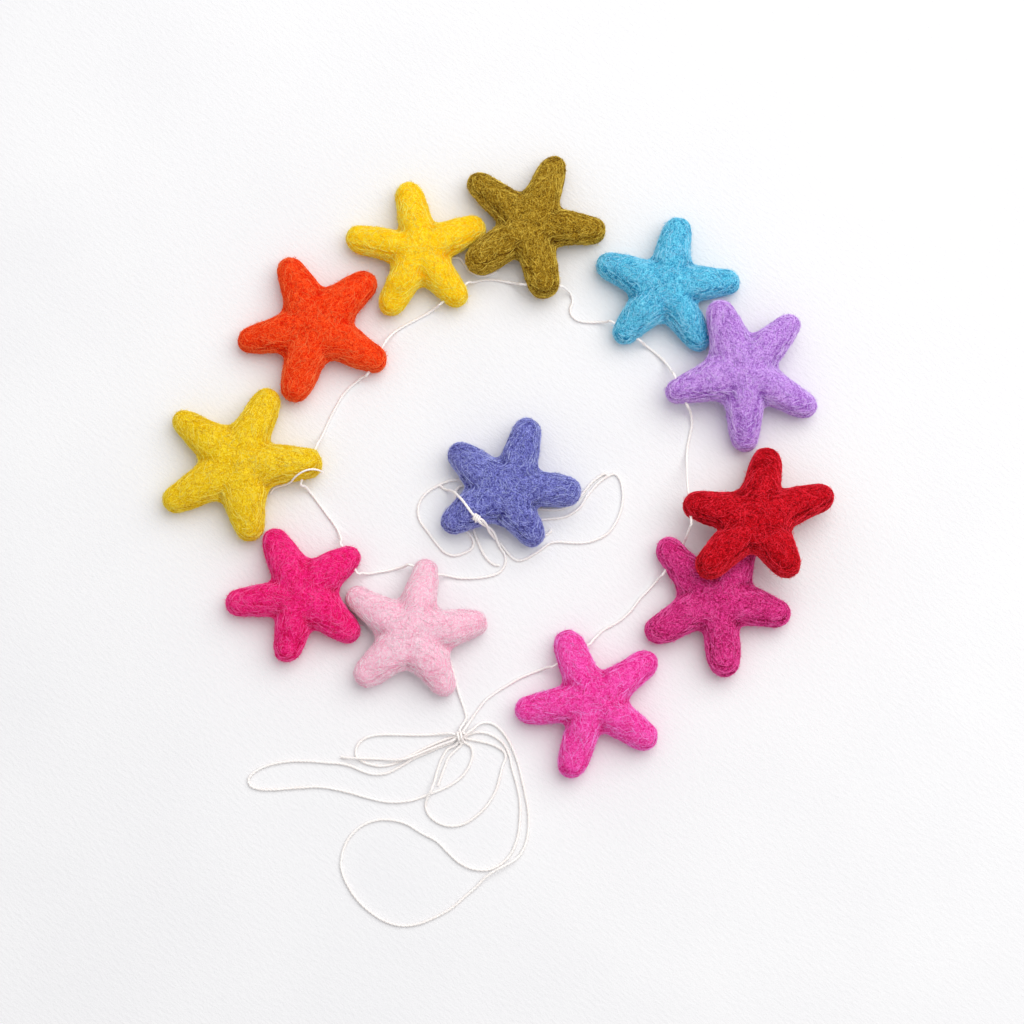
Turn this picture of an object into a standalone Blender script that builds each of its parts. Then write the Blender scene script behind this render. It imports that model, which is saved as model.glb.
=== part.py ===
"""A garland of twelve felt stars on one white cotton string, laid down in a ring.

All tables are in millimetres and degrees; +X is to the right, +Y away from the viewer and +Z up.
The origin is on the surface that the stars lie on, under the middle of the ring of stars.
"""

import math
from collections import namedtuple

import bmesh
import bpy
from mathutils import Matrix, Vector

MM = 0.001

# Driving sizes of a star
HUB_HALF_HEIGHT = 7.3
ROOT_HALF_HEIGHT = 6.7
TIP_HEIGHT_TO_RADIUS = 1.02
MIDDLE_LEVEL = 0.9
ROUNDNESS = 2.3
RING_ANGLES = (-66, -32, 0, 32, 64)
TIP_STEPS = 5
ROOT_REACH = 1.25
NOTCH_SPREAD = 5.5
NOTCH_OPENING = 1.02

# Driving sizes of the string
STRING_DIAMETER = 1.1
STRING_STEP = 3 * STRING_DIAMETER
ON_FLOOR = STRING_DIAMETER / 2 + 0.1
NEEDLE_HOLE_DIAMETER = 1.9
HOLE_SIDES = 10
END_GAP = 0.3
THREAD_DIAMETER = 0.6
CURVE_SAMPLES = 24

Star = namedtuple("Star", "x y lift tilt toward colour arms")
Arm = namedtuple("Arm", "heading reach tip_radius notch")
Hole = namedtuple("Hole", "first second")
Knot = namedtuple("Knot", "x y z heading half_length radius bands")

# One row for each star: its place, how far its underside is lifted, the tilt that raises its
# side at the heading toward, its colour, and its arms, clockwise. An arm has its heading, its
# reach to the tip, the radius of the tip, and how far out the notch after it lies.
STARS = {
    "orange": Star(-67.9, 50.8, 0, 0, 0, (0.86, 0.05, 0.01), [
        Arm(113, 28.9, 5.2, 15.8),
        Arm(43, 29.6, 5.2, 14.9),
        Arm(-29, 30.1, 5.3, 14.3),
        Arm(-107, 29.6, 5.6, 16.2),
        Arm(-169, 29.4, 4.8, 14.0),
    ]),
    "yellow": Star(-29.4, 79.7, 0, 0, 0, (0.93, 0.56, 0.01), [
        Arm(100, 27.3, 5.4, 12.8),
        Arm(24, 27.0, 5.3, 12.1),
        Arm(-50, 25.9, 5.0, 13.6),
        Arm(-118, 26.9, 4.8, 11.8),
        Arm(167, 28.1, 5.2, 11.7),
    ]),
    "olive": Star(11.9, 89.2, 0.75, 1.5, 215, (0.24, 0.15, 0.02), [
        Arm(139, 30.1, 5.0, 14.1),
        Arm(69, 29.4, 5.0, 14.0),
        Arm(-3, 28.8, 5.2, 12.8),
        Arm(-77, 28.4, 5.9, 13.7),
        Arm(-145, 28.3, 6.1, 12.6),
    ]),
    "light_blue": Star(62.7, 65.7, 0, 0, 0, (0.09, 0.45, 0.70), [
        Arm(79, 28.1, 5.5, 13.8),
        Arm(7, 28.1, 4.8, 13.4),
        Arm(-58, 27.3, 5.0, 13.5),
        Arm(-133, 27.3, 4.8, 14.5),
        Arm(157, 27.9, 5.2, 12.9),
    ]),
    "lavender": Star(91.1, 33.4, 3.4, 7, 112, (0.40, 0.20, 0.66), [
        Arm(112, 29.2, 5.5, 15.0),
        Arm(47, 28.7, 4.8, 12.9),
        Arm(-28, 30.1, 4.8, 15.1),
        Arm(-90, 29.5, 5.2, 14.2),
        Arm(-164, 30.3, 4.8, 15.2),
    ]),
    "red": Star(94.6, -24.6, 8.3, 17, 262, (0.52, 0.004, 0.01), [
        Arm(79, 29.6, 5.6, 15.4),
        Arm(22, 30.9, 5.2, 13.5),
        Arm(-60, 25.8, 5.7, 14.4),
        Arm(-134, 30.9, 5.4, 15.3),
        Arm(166, 27.8, 5.2, 13.0),
    ]),
    "dark_pink": Star(80.2, -52.5, 0, 0, 0, (0.56, 0.02, 0.18), [
        Arm(131, 30.7, 5.2, 10.1),
        Arm(62, 27.1, 5.2, 15.2),
        Arm(-10, 27.5, 5.5, 12.8),
        Arm(-83, 27.9, 5.9, 12.3),
        Arm(-154, 28.7, 5.4, 14.7),
    ]),
    "mustard": Star(-95.9, -0.7, 0, 0, 0, (0.68, 0.44, 0.02), [
        Arm(66, 30.9, 5.2, 15.0),
        Arm(-0, 31.3, 5.5, 15.8),
        Arm(-79, 29.7, 5.4, 15.9),
        Arm(-149, 31.6, 5.2, 14.8),
        Arm(142, 30.4, 4.8, 15.1),
    ]),
    "hot_pink": Star(-72.3, -49.9, 0, 0, 0, (0.76, 0.01, 0.13), [
        Arm(115, 27.1, 5.2, 14.4),
        Arm(39, 27.2, 4.8, 14.2),
        Arm(-36, 26.7, 5.0, 14.2),
        Arm(-103, 25.2, 5.4, 13.0),
        Arm(-173, 27.4, 5.0, 12.2),
    ]),
    "light_pink": Star(-31.0, -64.5, 0, 0, 0, (0.86, 0.46, 0.60), [
        Arm(79, 28.7, 4.6, 14.0),
        Arm(11, 27.7, 5.0, 15.1),
        Arm(-58, 26.1, 4.6, 13.7),
        Arm(-139, 26.9, 5.2, 14.1),
        Arm(146, 29.1, 4.8, 14.3),
    ]),
    "fuchsia": Star(34.1, -89.3, 0, 0, 0, (0.80, 0.045, 0.34), [
        Arm(111, 28.1, 5.5, 12.5),
        Arm(36, 29.5, 5.0, 14.2),
        Arm(-33, 28.1, 5.4, 12.0),
        Arm(-107, 28.9, 5.5, 13.0),
        Arm(-173, 27.9, 5.2, 12.7),
    ]),
    "periwinkle": Star(3.5, -11.1, 1.45, 0, 0, (0.10, 0.12, 0.46), [
        Arm(71, 28.5, 5.5, 14.3),
        Arm(-1, 27.4, 5.5, 13.3),
        Arm(-61, 23.6, 5.4, 13.0),
        Arm(-150, 27.7, 5.2, 15.8),
        Arm(142, 26.8, 5.4, 12.6),
    ]),
}

# The two mouths of the needle hole through an arm of each threaded star, just off the felt
HOLES = {
    "fuchsia": Hole((20.2, -76.1, 4.7), (34.0, -67.6, 4.7)),
    "dark_pink": Hole((60.6, -42.2, 4.7), (68.6, -29.9, 4.7)),
    "red": Hole((70.8, -24.7, 14.3), (70.0, -11.6, 10.3)),
    "lavender": Hole((70.4, 20.2, 7.6), (65.2, 32.3, 9.2)),
    "light_blue": Hole((53.3, 45.8, 4.7), (41.9, 53.5, 4.7)),
    "olive": Hole((23.5, 66.7, 5.5), (8.8, 67.3, 5.8)),
    "yellow": Hole((-10.9, 68.3, 4.7), (-21.5, 59.9, 4.7)),
    "orange": Hole((-41.7, 45.6, 4.7), (-48.6, 32.9, 4.7)),
    "mustard": Hole((-66.4, 7.3, 4.7), (-72.6, -8.4, 4.7)),
    "hot_pink": Hole((-57.8, -30.4, 4.7), (-51.3, -41.7, 4.7)),
    "light_pink": Hole((-32.8, -38.4, 4.7), (-21.5, -42.1, 4.7)),
}

# The route of each length of string, from end to end: points on the floor as (x, y), raised
# points as (x, y, z), and (star, mouth) where the string enters or leaves a needle hole
ROUTES = {
    "string_bow_to_fuchsia": [
        (-11.9, -98.7, 1.8), (-9.9, -95.6, 1), (-7.5, -92.1), (-4.6, -88.3), (-0.8, -85.3),
        (4.5, -82.0), (8.4, -79.8), (13.4, -77.7), (16.0, -76.8, 1.1), (18.3, -76.2, 2.7),
        ("fuchsia", 0),
    ],
    "string_fuchsia_to_dark_pink": [
        ("fuchsia", 1), (34.8, -66.3, 2.7), (36.4, -64.5, 1.1), (38.8, -62.2), (42.4, -60.2),
        (45.0, -58.6), (48.7, -55.3), (52.4, -50.5), (55.8, -47.0), (57.8, -44.8, 1.1),
        (59.5, -43.0, 2.7), ("dark_pink", 0),
    ],
    "string_dark_pink_to_red": [
        ("dark_pink", 1), (69.2, -28.9, 7.2), (70.1, -26.5, 11.6), ("red", 0),
    ],
    "string_red_to_lavender": [
        ("red", 1), (69.9, -9.3, 9.2), (69.9, -5.3, 6), (70.0, -1.4, 3.2), (70.1, 2.5, 1.4),
        (70.5, 6.8), (71.4, 11.0), (72.1, 14.5, 0.9), (72.0, 17.4, 1.7), (71.4, 19.7, 3.6),
        ("lavender", 0),
    ],
    "string_lavender_to_light_blue": [
        ("lavender", 1), (64.7, 34.1, 5.2), (63.7, 36.4, 3), (62.3, 38.7, 1.4), (60.3, 40.8, 0.9),
        (58.1, 42.8), (56.1, 44.3, 1), (54.2, 45.4, 2.6), ("light_blue", 0),
    ],
    "string_light_blue_to_olive": [
        ("light_blue", 1), (40.6, 53.6, 2.7), (38.2, 53.9, 1.1), (34.8, 53.9), (31.5, 54.2),
        (29.1, 55.1), (27.5, 56.9), (27.2, 59.2), (28.0, 61.5), (27.7, 63.8, 0.8),
        (26.8, 65.3, 1.7), (25.3, 66.2, 3.3), ("olive", 0),
    ],
    "string_olive_to_yellow": [
        ("olive", 1), (7.8, 68.1, 3.6), (5.5, 68.8, 1.7), (3.1, 69.4, 1), (-0.3, 70.1),
        (-4.8, 70.2), (-7.6, 69.6, 1.1), (-9.7, 68.8, 2.6), ("yellow", 0),
    ],
    "string_yellow_to_orange": [
        ("yellow", 1), (-22.6, 59.5, 2.7), (-24.6, 58.3, 1.1), (-27.2, 56.7), (-32.0, 54.1),
        (-36.1, 51.8), (-38.5, 50.1, 1.1), (-40.4, 47.8, 2.7), ("orange", 0),
    ],
    "string_orange_to_mustard": [
        ("orange", 1), (-50.0, 32.8, 2.7), (-52.2, 31.3, 1.1), (-55.0, 29.0), (-57.6, 26.0),
        (-60.1, 21.6), (-62.5, 16.7), (-64.0, 13.3), (-65.0, 10.9, 1.2), (-65.8, 8.7, 2.8),
        ("mustard", 0),
    ],
    "string_mustard_to_hot_pink": [
        ("mustard", 1), (-71.1, -8.8, 2.8), (-69.6, -10.4, 1.2), (-67.8, -12.6), (-65.7, -15.4),
        (-63.2, -18.8), (-60.8, -22.0), (-59.1, -24.7, 0.8), (-58.2, -26.9, 1.5),
        (-57.6, -29.1, 2.9), ("hot_pink", 0),
    ],
    "string_hot_pink_to_light_pink": [
        ("hot_pink", 1), (-49.9, -41.2, 2.7), (-47.5, -41.2, 1.1), (-44.4, -40.6), (-40.4, -40.0),
        (-37.1, -39.2, 0.9), (-34.4, -38.8, 2.4), ("light_pink", 0),
    ],
    "string_light_pink_to_blue": [
        ("light_pink", 1), (-20.4, -41.8, 2.7), (-18.1, -42.0, 1.1), (-14.2, -42.7), (-8.7, -42.8),
        (-3.3, -42.1), (0.4, -40.8), (2.2, -38.8), (3.0, -36.6), (2.8, -34.3), (1.4, -32.3),
        (-0.1, -30.2, 0.8), (-1.5, -28.3, 2), (-2.7, -26.7, 4.2), (-3.9, -25.8, 7.4),
        (-5.1, -25.3, 10.8), (-6.4, -24.3, 13.7),
    ],
    "string_blue_right_loop": [
        (-5.6, -23.0, 13.8), (-4.0, -23.9, 10.8), (-2.7, -25.0, 7.4), (-1.4, -25.9, 4.2),
        (-0.1, -27.6, 2), (1.1, -29.4, 0.8), (2.7, -31.5), (4.1, -33.7), (5.8, -35.4),
        (7.9, -36.2), (10.5, -35.5), (13.4, -33.8), (16.6, -31.6), (19.4, -29.7), (22.3, -29.2),
        (27.0, -29.5), (32.1, -29.5), (36.6, -28.3), (40.6, -26.1), (43.4, -22.5), (45.2, -18.6),
        (46.3, -13.9), (46.1, -8.8), (45.0, -5.2), (43.3, -3.7), (41.3, -4.3), (38.1, -6.4),
        (35.5, -9.0), (33.0, -12.2), (30.4, -16.2), (27.0, -18.8), (23.8, -20.1), (19.4, -20.6),
        (15.4, -21.1), (12.6, -22.4), (11.6, -24.6), (12.8, -26.7), (15.4, -27.5), (17.9, -26.6),
        (19.8, -25.1),
    ],
    "string_blue_left_loop": [
        (39.6, -3.7), (37.1, -5.1), (34.7, -7.1), (32.3, -10.0), (29.9, -13.1), (27.0, -15.5),
        (23.3, -16.9), (19.9, -17.1), (15.5, -16.9), (11.0, -16.2), (6.0, -14.9), (0.9, -12.6),
        (-3.9, -10.0), (-8.4, -7.7), (-13.3, -6.1), (-17.8, -6.4), (-22.1, -8.2), (-25.8, -10.5),
        (-28.3, -13.4), (-29.4, -17.4), (-28.6, -21.4), (-25.7, -25.5), (-22.4, -30.0),
        (-19.4, -33.2), (-16.3, -34.3), (-12.6, -33.5), (-9.8, -31.9), (-8.8, -29.7),
        (-9.4, -27.6), (-11.1, -25.5), (-13.3, -22.5), (-14.9, -18.8), (-15.5, -14.7),
        (-15.5, -11.3), (-14.7, -9.2), (-13.0, -8.3), (-11.1, -8.7), (-9.1, -10.1), (-7.6, -12.8),
        (-7.2, -16.2), (-7.9, -19.6), (-8.9, -22.7), (-8.5, -25.8), (-7.2, -29.1), (-5.6, -32.9),
        (-3.5, -36.0), (-1.3, -37.7), (0.5, -38.0),
    ],
    "string_over_blue_arm": [
        (-9.4, -20.8, 14.6), (-10.9, -18.8, 15.1), (-12.7, -16.2, 14.2), (-14.7, -13.6, 11.2),
        (-16.2, -11.6, 7.2), (-17.5, -10.4, 3.4), (-18.8, -9.8, 1.1), (-20.3, -9.0),
    ],
    "string_light_pink_to_bow": [
        (-19.3, -70.0), (-17.6, -73.2), (-16.4, -76.7), (-15.4, -80.5), (-14.4, -84.5),
        (-13.1, -88.3), (-11.9, -91.8), (-11.4, -94.4), (-12.2, -96.4, 1), (-13.7, -98.8, 1.8),
    ],
    "string_yellow_side_strand": [
        (-17.0, 78.5), (-15.1, 78.8), (-13.4, 77.7), (-12.1, 75.6), (-10.3, 73.5), (-7.9, 72.1),
        (-5.3, 71.8), (-2.7, 72.3), (-0.5, 73.4),
    ],
    "string_bow_left_loop": [
        (-16.4, -100.4, 2), (-18.8, -100.3, 1.5), (-21.7, -100.5, 0.9), (-25.4, -100.7),
        (-31.7, -100.8), (-38.2, -100.6), (-43.0, -100.7), (-47.1, -101.4), (-50.0, -103.1),
        (-51.6, -105.9), (-51.4, -108.5), (-49.4, -110.4), (-46.5, -111.5), (-42.6, -112.1),
        (-38.4, -111.5), (-33.2, -109.0), (-27.9, -106.3), (-22.1, -103.6), (-19.1, -102.4),
        (-16.5, -101.6),
    ],
    "string_bow_long_loop": [
        (-16.4, -103.3), (-19.1, -104.5), (-22.1, -105.7), (-26.4, -107.6), (-30.9, -109.6),
        (-36.3, -112.8), (-40.6, -114.8), (-45.4, -115.0), (-49.4, -113.9), (-53.0, -112.3),
        (-56.7, -111.3), (-61.8, -110.9), (-69.4, -110.3), (-76.9, -110.5), (-83.7, -111.9),
        (-88.4, -114.2), (-90.7, -116.9), (-89.9, -119.3), (-87.0, -120.5), (-81.4, -120.7),
        (-73.0, -120.1), (-64.0, -119.8), (-54.9, -121.5), (-47.4, -123.6), (-39.8, -125.2),
        (-31.6, -124.7), (-24.1, -122.1), (-17.3, -119.2), (-12.5, -115.5), (-9.8, -111.0),
        (-9.0, -107.4), (-9.7, -105.1), (-11.3, -103.9),
    ],
    "string_bow_tail_upper": [
        (-16.3, -102.9, 2.3), (-20.3, -104.4, 2.1), (-24.6, -106.1, 2.2), (-28.9, -107.9, 2.2),
        (-32.6, -109.3, 2.2), (-35.5, -109.9, 2.2), (-38.8, -109.9, 1.4), (-42.8, -109.6),
        (-47.2, -109.4, 1.1), (-50.8, -109.4, 2.1), (-53.9, -109.3, 1.4), (-57.1, -108.8),
    ],
    "string_bow_right_loop": [
        (-10.7, -102.2), (-6.7, -103.0), (-2.3, -104.1), (0.8, -105.6), (2.6, -107.2),
        (3.0, -109.2), (2.0, -111.9), (1.0, -115.8), (-0.6, -121.2), (-3.8, -126.5),
        (-7.5, -130.2), (-12.0, -133.1), (-16.5, -134.0), (-21.0, -133.0), (-24.5, -130.4),
        (-26.1, -126.9), (-25.5, -123.9, 1.5), (-24.1, -121.2, 2.6), (-22.9, -117.8, 1.7),
        (-21.7, -113.2), (-20.1, -109.0), (-18.0, -105.9), (-15.3, -104.6, 1),
    ],
    "string_bow_tail_lower": [
        (-13.2, -104.2), (-15.1, -106.2), (-17.7, -108.9), (-19.3, -112.7), (-20.8, -116.9),
        (-21.6, -119.2),
    ],
    "string_bow_great_loop_out": [
        (-10.7, -100.1, 2.7), (-8.7, -98.7, 2.3), (-7.1, -97.1, 1.5), (-4.9, -96.2, 0.9),
        (-1.6, -96.7), (1.5, -99.2), (4.2, -103.0), (6.2, -107.2), (7.7, -111.7), (9.0, -117.0),
        (10.3, -123.1), (11.3, -129.1), (11.3, -135.1), (10.3, -140.3), (8.0, -144.7, 0.8),
        (5.1, -147.1, 1.5), (1.9, -148.8, 2), (-1.4, -150.6, 2), (-4.5, -152.8, 1.6),
        (-7.9, -156.2, 0.9), (-11.2, -159.0), (-16.4, -163.5), (-23.1, -167.2), (-29.0, -169.4),
        (-35.1, -169.9), (-41.0, -168.1), (-47.0, -164.2), (-52.0, -159.0), (-55.4, -153.0),
        (-56.5, -149.6),
    ],
    "string_bow_great_loop_back": [
        (-56.6, -149.2), (-56.7, -147.0), (-55.8, -142.2), (-53.2, -137.3), (-48.8, -133.6),
        (-43.6, -131.8), (-38.3, -131.8), (-33.0, -133.2), (-27.7, -136.4), (-22.1, -139.4),
        (-17.9, -143.5),
        (-13.8, -147.2), (-8.9, -149.5), (-2.9, -149.7), (1.7, -147.4), (5.3, -143.4),
        (7.5, -137.3), (8.3, -129.9), (8.1, -123.8), (6.8, -117.8), (5.3, -112.7), (4.5, -108.5),
        (2.8, -104.8), (0.0, -102.0), (-3.8, -100.1), (-7.5, -99.8), (-10.6, -100.7),
    ],
    "string_loose_thread": [
        (-84.0, -11.0, 1.6), (-82.8, -9.6, 2.4), (-80.8, -8.9, 3.2), (-78.5, -8.5, 4.6),
        (-76.3, -8.0, 6.8), (-74.7, -6.8, 9.4), (-72.7, -5.5, 11), (-70.5, -4.5, 11.6),
        (-68.3, -4.0, 11.4), (-66.2, -4.0, 10.2), (-64.3, -4.4, 8),
    ],
}
THINNER = {"string_loose_thread": THREAD_DIAMETER}

# Wound knots: the middle, the heading of the axis, half the length, the radius, and the turns
KNOTS = {
    "knot_bow": Knot(-13.5, -101.5, 2.05, 4, 2.3, 2.0, 3),
    "knot_on_blue_star": Knot(-7.7, -22.6, 14.5, -35, 1.4, 1.1, 2),
}
KNOT_SIDES = 12
KNOT_GROOVE = 0.82
STRING_COLOUR = (0.87, 0.84, 0.80)


def clear_scene():
    for old in list(bpy.data.objects):
        bpy.data.objects.remove(old)


def make_material(name, colour, roughness):
    material = bpy.data.materials.new(name)
    material.use_nodes = True
    shader = material.node_tree.nodes["Principled BSDF"]
    shader.inputs["Base Color"].default_value = (*colour, 1)
    shader.inputs["Roughness"].default_value = roughness
    shader.inputs["Metallic"].default_value = 0
    return material


def polar(distance, heading):
    return Vector((distance * math.cos(math.radians(heading)), distance * math.sin(math.radians(heading))))


def notch_between(arm, following):
    """The heading of the notch between two arms and half the angle that it spans."""
    half = ((arm.heading - following.heading) % 360) / 2
    return arm.heading - half, half


def root_offsets(arm, notch, half):
    """How far along its axis an arm meets the notch beside it, and how wide it is there."""
    along = ROOT_REACH * notch * math.cos(math.radians(half))
    aside = (arm.tip_radius + notch * math.sin(math.radians(half))) / 2
    return along, aside


def star_outline(arms):
    """The rim of a star clockwise, as (x, y, spine point) rows, and the half height at each spine point."""
    rim = []
    spine = {"hub": (Vector((0, 0)), HUB_HALF_HEIGHT)}
    for index, arm in enumerate(arms):
        before, after = arms[index - 1], arms[(index + 1) % len(arms)]
        _, half_before = notch_between(before, arm)
        notch_heading, half_after = notch_between(arm, after)
        along_left, aside_left = root_offsets(arm, before.notch, half_before)
        along_right, aside_right = root_offsets(arm, arm.notch, half_after)
        axis, side = polar(1, arm.heading), polar(1, arm.heading + 90)
        root, tip = f"root{index}", f"tip{index}"
        tip_centre = axis * (arm.reach - arm.tip_radius)
        spine[root] = (axis * (along_left + along_right) / 2, ROOT_HALF_HEIGHT)
        spine[tip] = (tip_centre, TIP_HEIGHT_TO_RADIUS * arm.tip_radius)
        rim.append((axis * along_left + side * aside_left, root))
        for step in range(TIP_STEPS + 1):
            turn = arm.heading + 90 - 180 * step / TIP_STEPS
            rim.append((tip_centre + polar(arm.tip_radius, turn), tip))
        rim.append((axis * along_right - side * aside_right, root))
        for spread, opening in ((1, NOTCH_OPENING), (0, 1), (-1, NOTCH_OPENING)):
            place = polar(arm.notch * opening, notch_heading + spread * NOTCH_SPREAD)
            rim.append((place, "hub"))
    return rim, spine


def rounded(value):
    return math.copysign(abs(value) ** (2 / ROUNDNESS), value)


def star_mesh(name, arms):
    """A plump star: rings of points from the rim to the spine, over and under, flat below."""
    rim, spine = star_outline(arms)
    mesh = bmesh.new()
    rings = []
    for angle in RING_ANGLES:
        out, rise = rounded(math.cos(math.radians(angle))), rounded(math.sin(math.radians(angle)))
        ring = []
        for place, foot in rim:
            middle, half_height = spine[foot]
            flat = middle + (place - middle) * out
            height = max(0, half_height * (MIDDLE_LEVEL + rise))
            ring.append(mesh.verts.new((flat.x, flat.y, height)))
        rings.append(ring)
    count = len(rim)
    for lower, upper in zip(rings, rings[1:]):
        for k in range(count):
            following = (k + 1) % count
            mesh.faces.new((lower[k], lower[following], upper[following], upper[k]))
    for ring, crown in ((rings[0], False), (rings[-1], True)):
        close_with_spine(mesh, ring, rim, spine, crown)
    bmesh.ops.recalc_face_normals(mesh, faces=mesh.faces)
    bmesh.ops.scale(mesh, vec=(MM, MM, MM), verts=mesh.verts)
    data = bpy.data.meshes.new(name)
    mesh.to_mesh(data)
    mesh.free()
    data.shade_smooth()
    return data


def close_with_spine(mesh, ring, rim, spine, crown):
    """Faces from a ring in to the points of the spine, above or below."""
    ends = {}
    for foot, (middle, half_height) in spine.items():
        height = half_height * (MIDDLE_LEVEL + 1) if crown else 0
        ends[foot] = mesh.verts.new((middle.x, middle.y, height))
    for k, (_, foot) in enumerate(rim):
        following = (k + 1) % len(rim)
        next_foot = rim[following][1]
        corners = [ring[k], ring[following], ends[next_foot]]
        if next_foot != foot:
            corners.append(ends[foot])
        mesh.faces.new(corners)


def tilted(tilt, toward):
    """Raises the side that lies toward a heading."""
    turn = Matrix.Rotation(math.radians(toward), 4, "Z")
    return turn @ Matrix.Rotation(math.radians(-tilt), 4, "Y") @ turn.inverted()


def add_object(name, data, material):
    made = bpy.data.objects.new(name, data)
    data.materials.append(material)
    bpy.context.scene.collection.objects.link(made)
    return made


def add_star(colour_name, star):
    data = star_mesh(f"star_{colour_name}", star.arms)
    made = add_object(f"star_{colour_name}", data, make_material(f"felt_{colour_name}", star.colour, 0.95))
    place = Matrix.Translation(Vector((star.x, star.y, star.lift)) * MM)
    made.matrix_world = place @ tilted(star.tilt, star.toward)
    if colour_name in HOLES:
        pierce(made, HOLES[colour_name])


def pierce(star, hole):
    """Cuts the straight needle hole between its two mouths."""
    first, second = Vector(hole.first) * MM, Vector(hole.second) * MM
    cutter_mesh = bmesh.new()
    radius = NEEDLE_HOLE_DIAMETER / 2 * MM
    bmesh.ops.create_cone(
        cutter_mesh, cap_ends=True, segments=HOLE_SIDES, radius1=radius, radius2=radius,
        depth=(second - first).length,
    )
    data = bpy.data.meshes.new(f"{star.name}_needle")
    cutter_mesh.to_mesh(data)
    cutter_mesh.free()
    cutter = bpy.data.objects.new(f"{star.name}_needle", data)
    bpy.context.scene.collection.objects.link(cutter)
    turn = (second - first).to_track_quat("Z", "Y")
    cutter.matrix_world = Matrix.Translation((first + second) / 2) @ turn.to_matrix().to_4x4()
    cutter.hide_render = True
    cutter.display_type = "WIRE"
    cut = star.modifiers.new("needle_hole", "BOOLEAN")
    cut.operation = "DIFFERENCE"
    cut.solver = "EXACT"
    cut.object = cutter


def route_point(point):
    if isinstance(point[0], str):
        return Vector(HOLES[point[0]][point[1]])
    return Vector((point[0], point[1], point[2] if len(point) == 3 else ON_FLOOR))


def hole_middle(point):
    """Where a string ends inside the arm: just short of the middle, on its own side."""
    near, far = Vector(HOLES[point[0]][point[1]]), Vector(HOLES[point[0]][1 - point[1]])
    middle = (near + far) / 2
    return middle + (near - middle).normalized() * END_GAP / 2


def smooth_line(points, first_guide, last_guide):
    """Points read closely from one smooth curve through the route's own points."""
    knots = [first_guide, *points, last_guide]
    line = [points[0]]
    for a, b, c, d in zip(knots, knots[1:], knots[2:], knots[3:]):
        ab, bc, cd = ((q - p).length ** 0.5 for p, q in ((a, b), (b, c), (c, d)))
        leave = ((b - a) / ab - (c - a) / (ab + bc) + (c - b) / bc) * bc
        arrive = ((c - b) / bc - (d - b) / (bc + cd) + (d - c) / cd) * bc
        for step in range(1, CURVE_SAMPLES + 1):
            t = step / CURVE_SAMPLES
            line.append(
                b * (2 * t**3 - 3 * t**2 + 1) + leave * (t**3 - 2 * t**2 + t)
                + c * (3 * t**2 - 2 * t**3) + arrive * (t**3 - t**2)
            )
    return line


def even_points(line, step):
    """Points along a line at even steps, its two ends among them."""
    travelled = [0.0]
    for a, b in zip(line, line[1:]):
        travelled.append(travelled[-1] + (b - a).length)
    count = max(2, round(travelled[-1] / step))
    points = []
    place = 0
    for index in range(count):
        wanted = travelled[-1] * index / count
        while travelled[place + 1] < wanted:
            place += 1
        share = (wanted - travelled[place]) / (travelled[place + 1] - travelled[place])
        points.append(line[place].lerp(line[place + 1], share))
    return [*points, line[-1]]


def string_points(route, diameter):
    points = [route_point(point) for point in route]
    starts_in_hole, ends_in_hole = (isinstance(route[end][0], str) for end in (0, -1))
    first_guide = hole_middle(route[0]) if starts_in_hole else points[0] * 2 - points[1]
    last_guide = hole_middle(route[-1]) if ends_in_hole else points[-1] * 2 - points[-2]
    line = smooth_line(points, first_guide, last_guide)
    made = even_points(line, STRING_STEP * diameter / STRING_DIAMETER)
    if starts_in_hole:
        made.insert(0, first_guide)
    if ends_in_hole:
        made.append(last_guide)
    return made


def add_string(name, route, material):
    diameter = THINNER.get(name, STRING_DIAMETER)
    points = string_points(route, diameter)
    data = bpy.data.curves.new(name, "CURVE")
    data.dimensions = "3D"
    data.bevel_depth = diameter / 2 * MM
    data.bevel_resolution = 2
    data.use_fill_caps = True
    spline = data.splines.new("POLY")
    spline.points.add(len(points) - 1)
    for target, point in zip(spline.points, points):
        target.co = (*(point * MM), 1)
    spline.use_smooth = True
    add_object(name, data, material)


def knot_profile(knot):
    """(distance along the axis, radius) pairs over the turns of a wound knot."""
    pairs = []
    width = 2 * knot.half_length / knot.bands
    for band in range(knot.bands):
        start = -knot.half_length + band * width
        for share, size in ((0.15, KNOT_GROOVE), (0.35, 1), (0.65, 1), (0.85, KNOT_GROOVE)):
            pairs.append((start + share * width, knot.radius * size))
    return pairs


def add_knot(name, knot, material):
    mesh = bmesh.new()
    rings = []
    for along, radius in knot_profile(knot):
        ring = []
        for side in range(KNOT_SIDES):
            angle = math.tau * side / KNOT_SIDES
            ring.append(mesh.verts.new((along, radius * math.cos(angle), radius * math.sin(angle))))
        rings.append(ring)
    for lower, upper in zip(rings, rings[1:]):
        for k in range(KNOT_SIDES):
            following = (k + 1) % KNOT_SIDES
            mesh.faces.new((lower[k], lower[following], upper[following], upper[k]))
    mesh.faces.new(rings[0])
    mesh.faces.new(rings[-1])
    bmesh.ops.recalc_face_normals(mesh, faces=mesh.faces)
    turn = Matrix.Rotation(math.radians(knot.heading), 4, "Z")
    place = Matrix.Translation(Vector((knot.x, knot.y, knot.z)) * MM)
    bmesh.ops.transform(mesh, matrix=turn @ Matrix.Scale(MM, 4), verts=mesh.verts)
    data = bpy.data.meshes.new(name)
    mesh.to_mesh(data)
    mesh.free()
    data.shade_smooth()
    add_object(name, data, material).matrix_world = place


def main():
    clear_scene()
    for colour_name, star in STARS.items():
        add_star(colour_name, star)
    cotton = make_material("cotton_string", STRING_COLOUR, 0.8)
    for name, route in ROUTES.items():
        add_string(name, route, cotton)
    for name, knot in KNOTS.items():
        add_knot(name, knot, cotton)


main()
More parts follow.
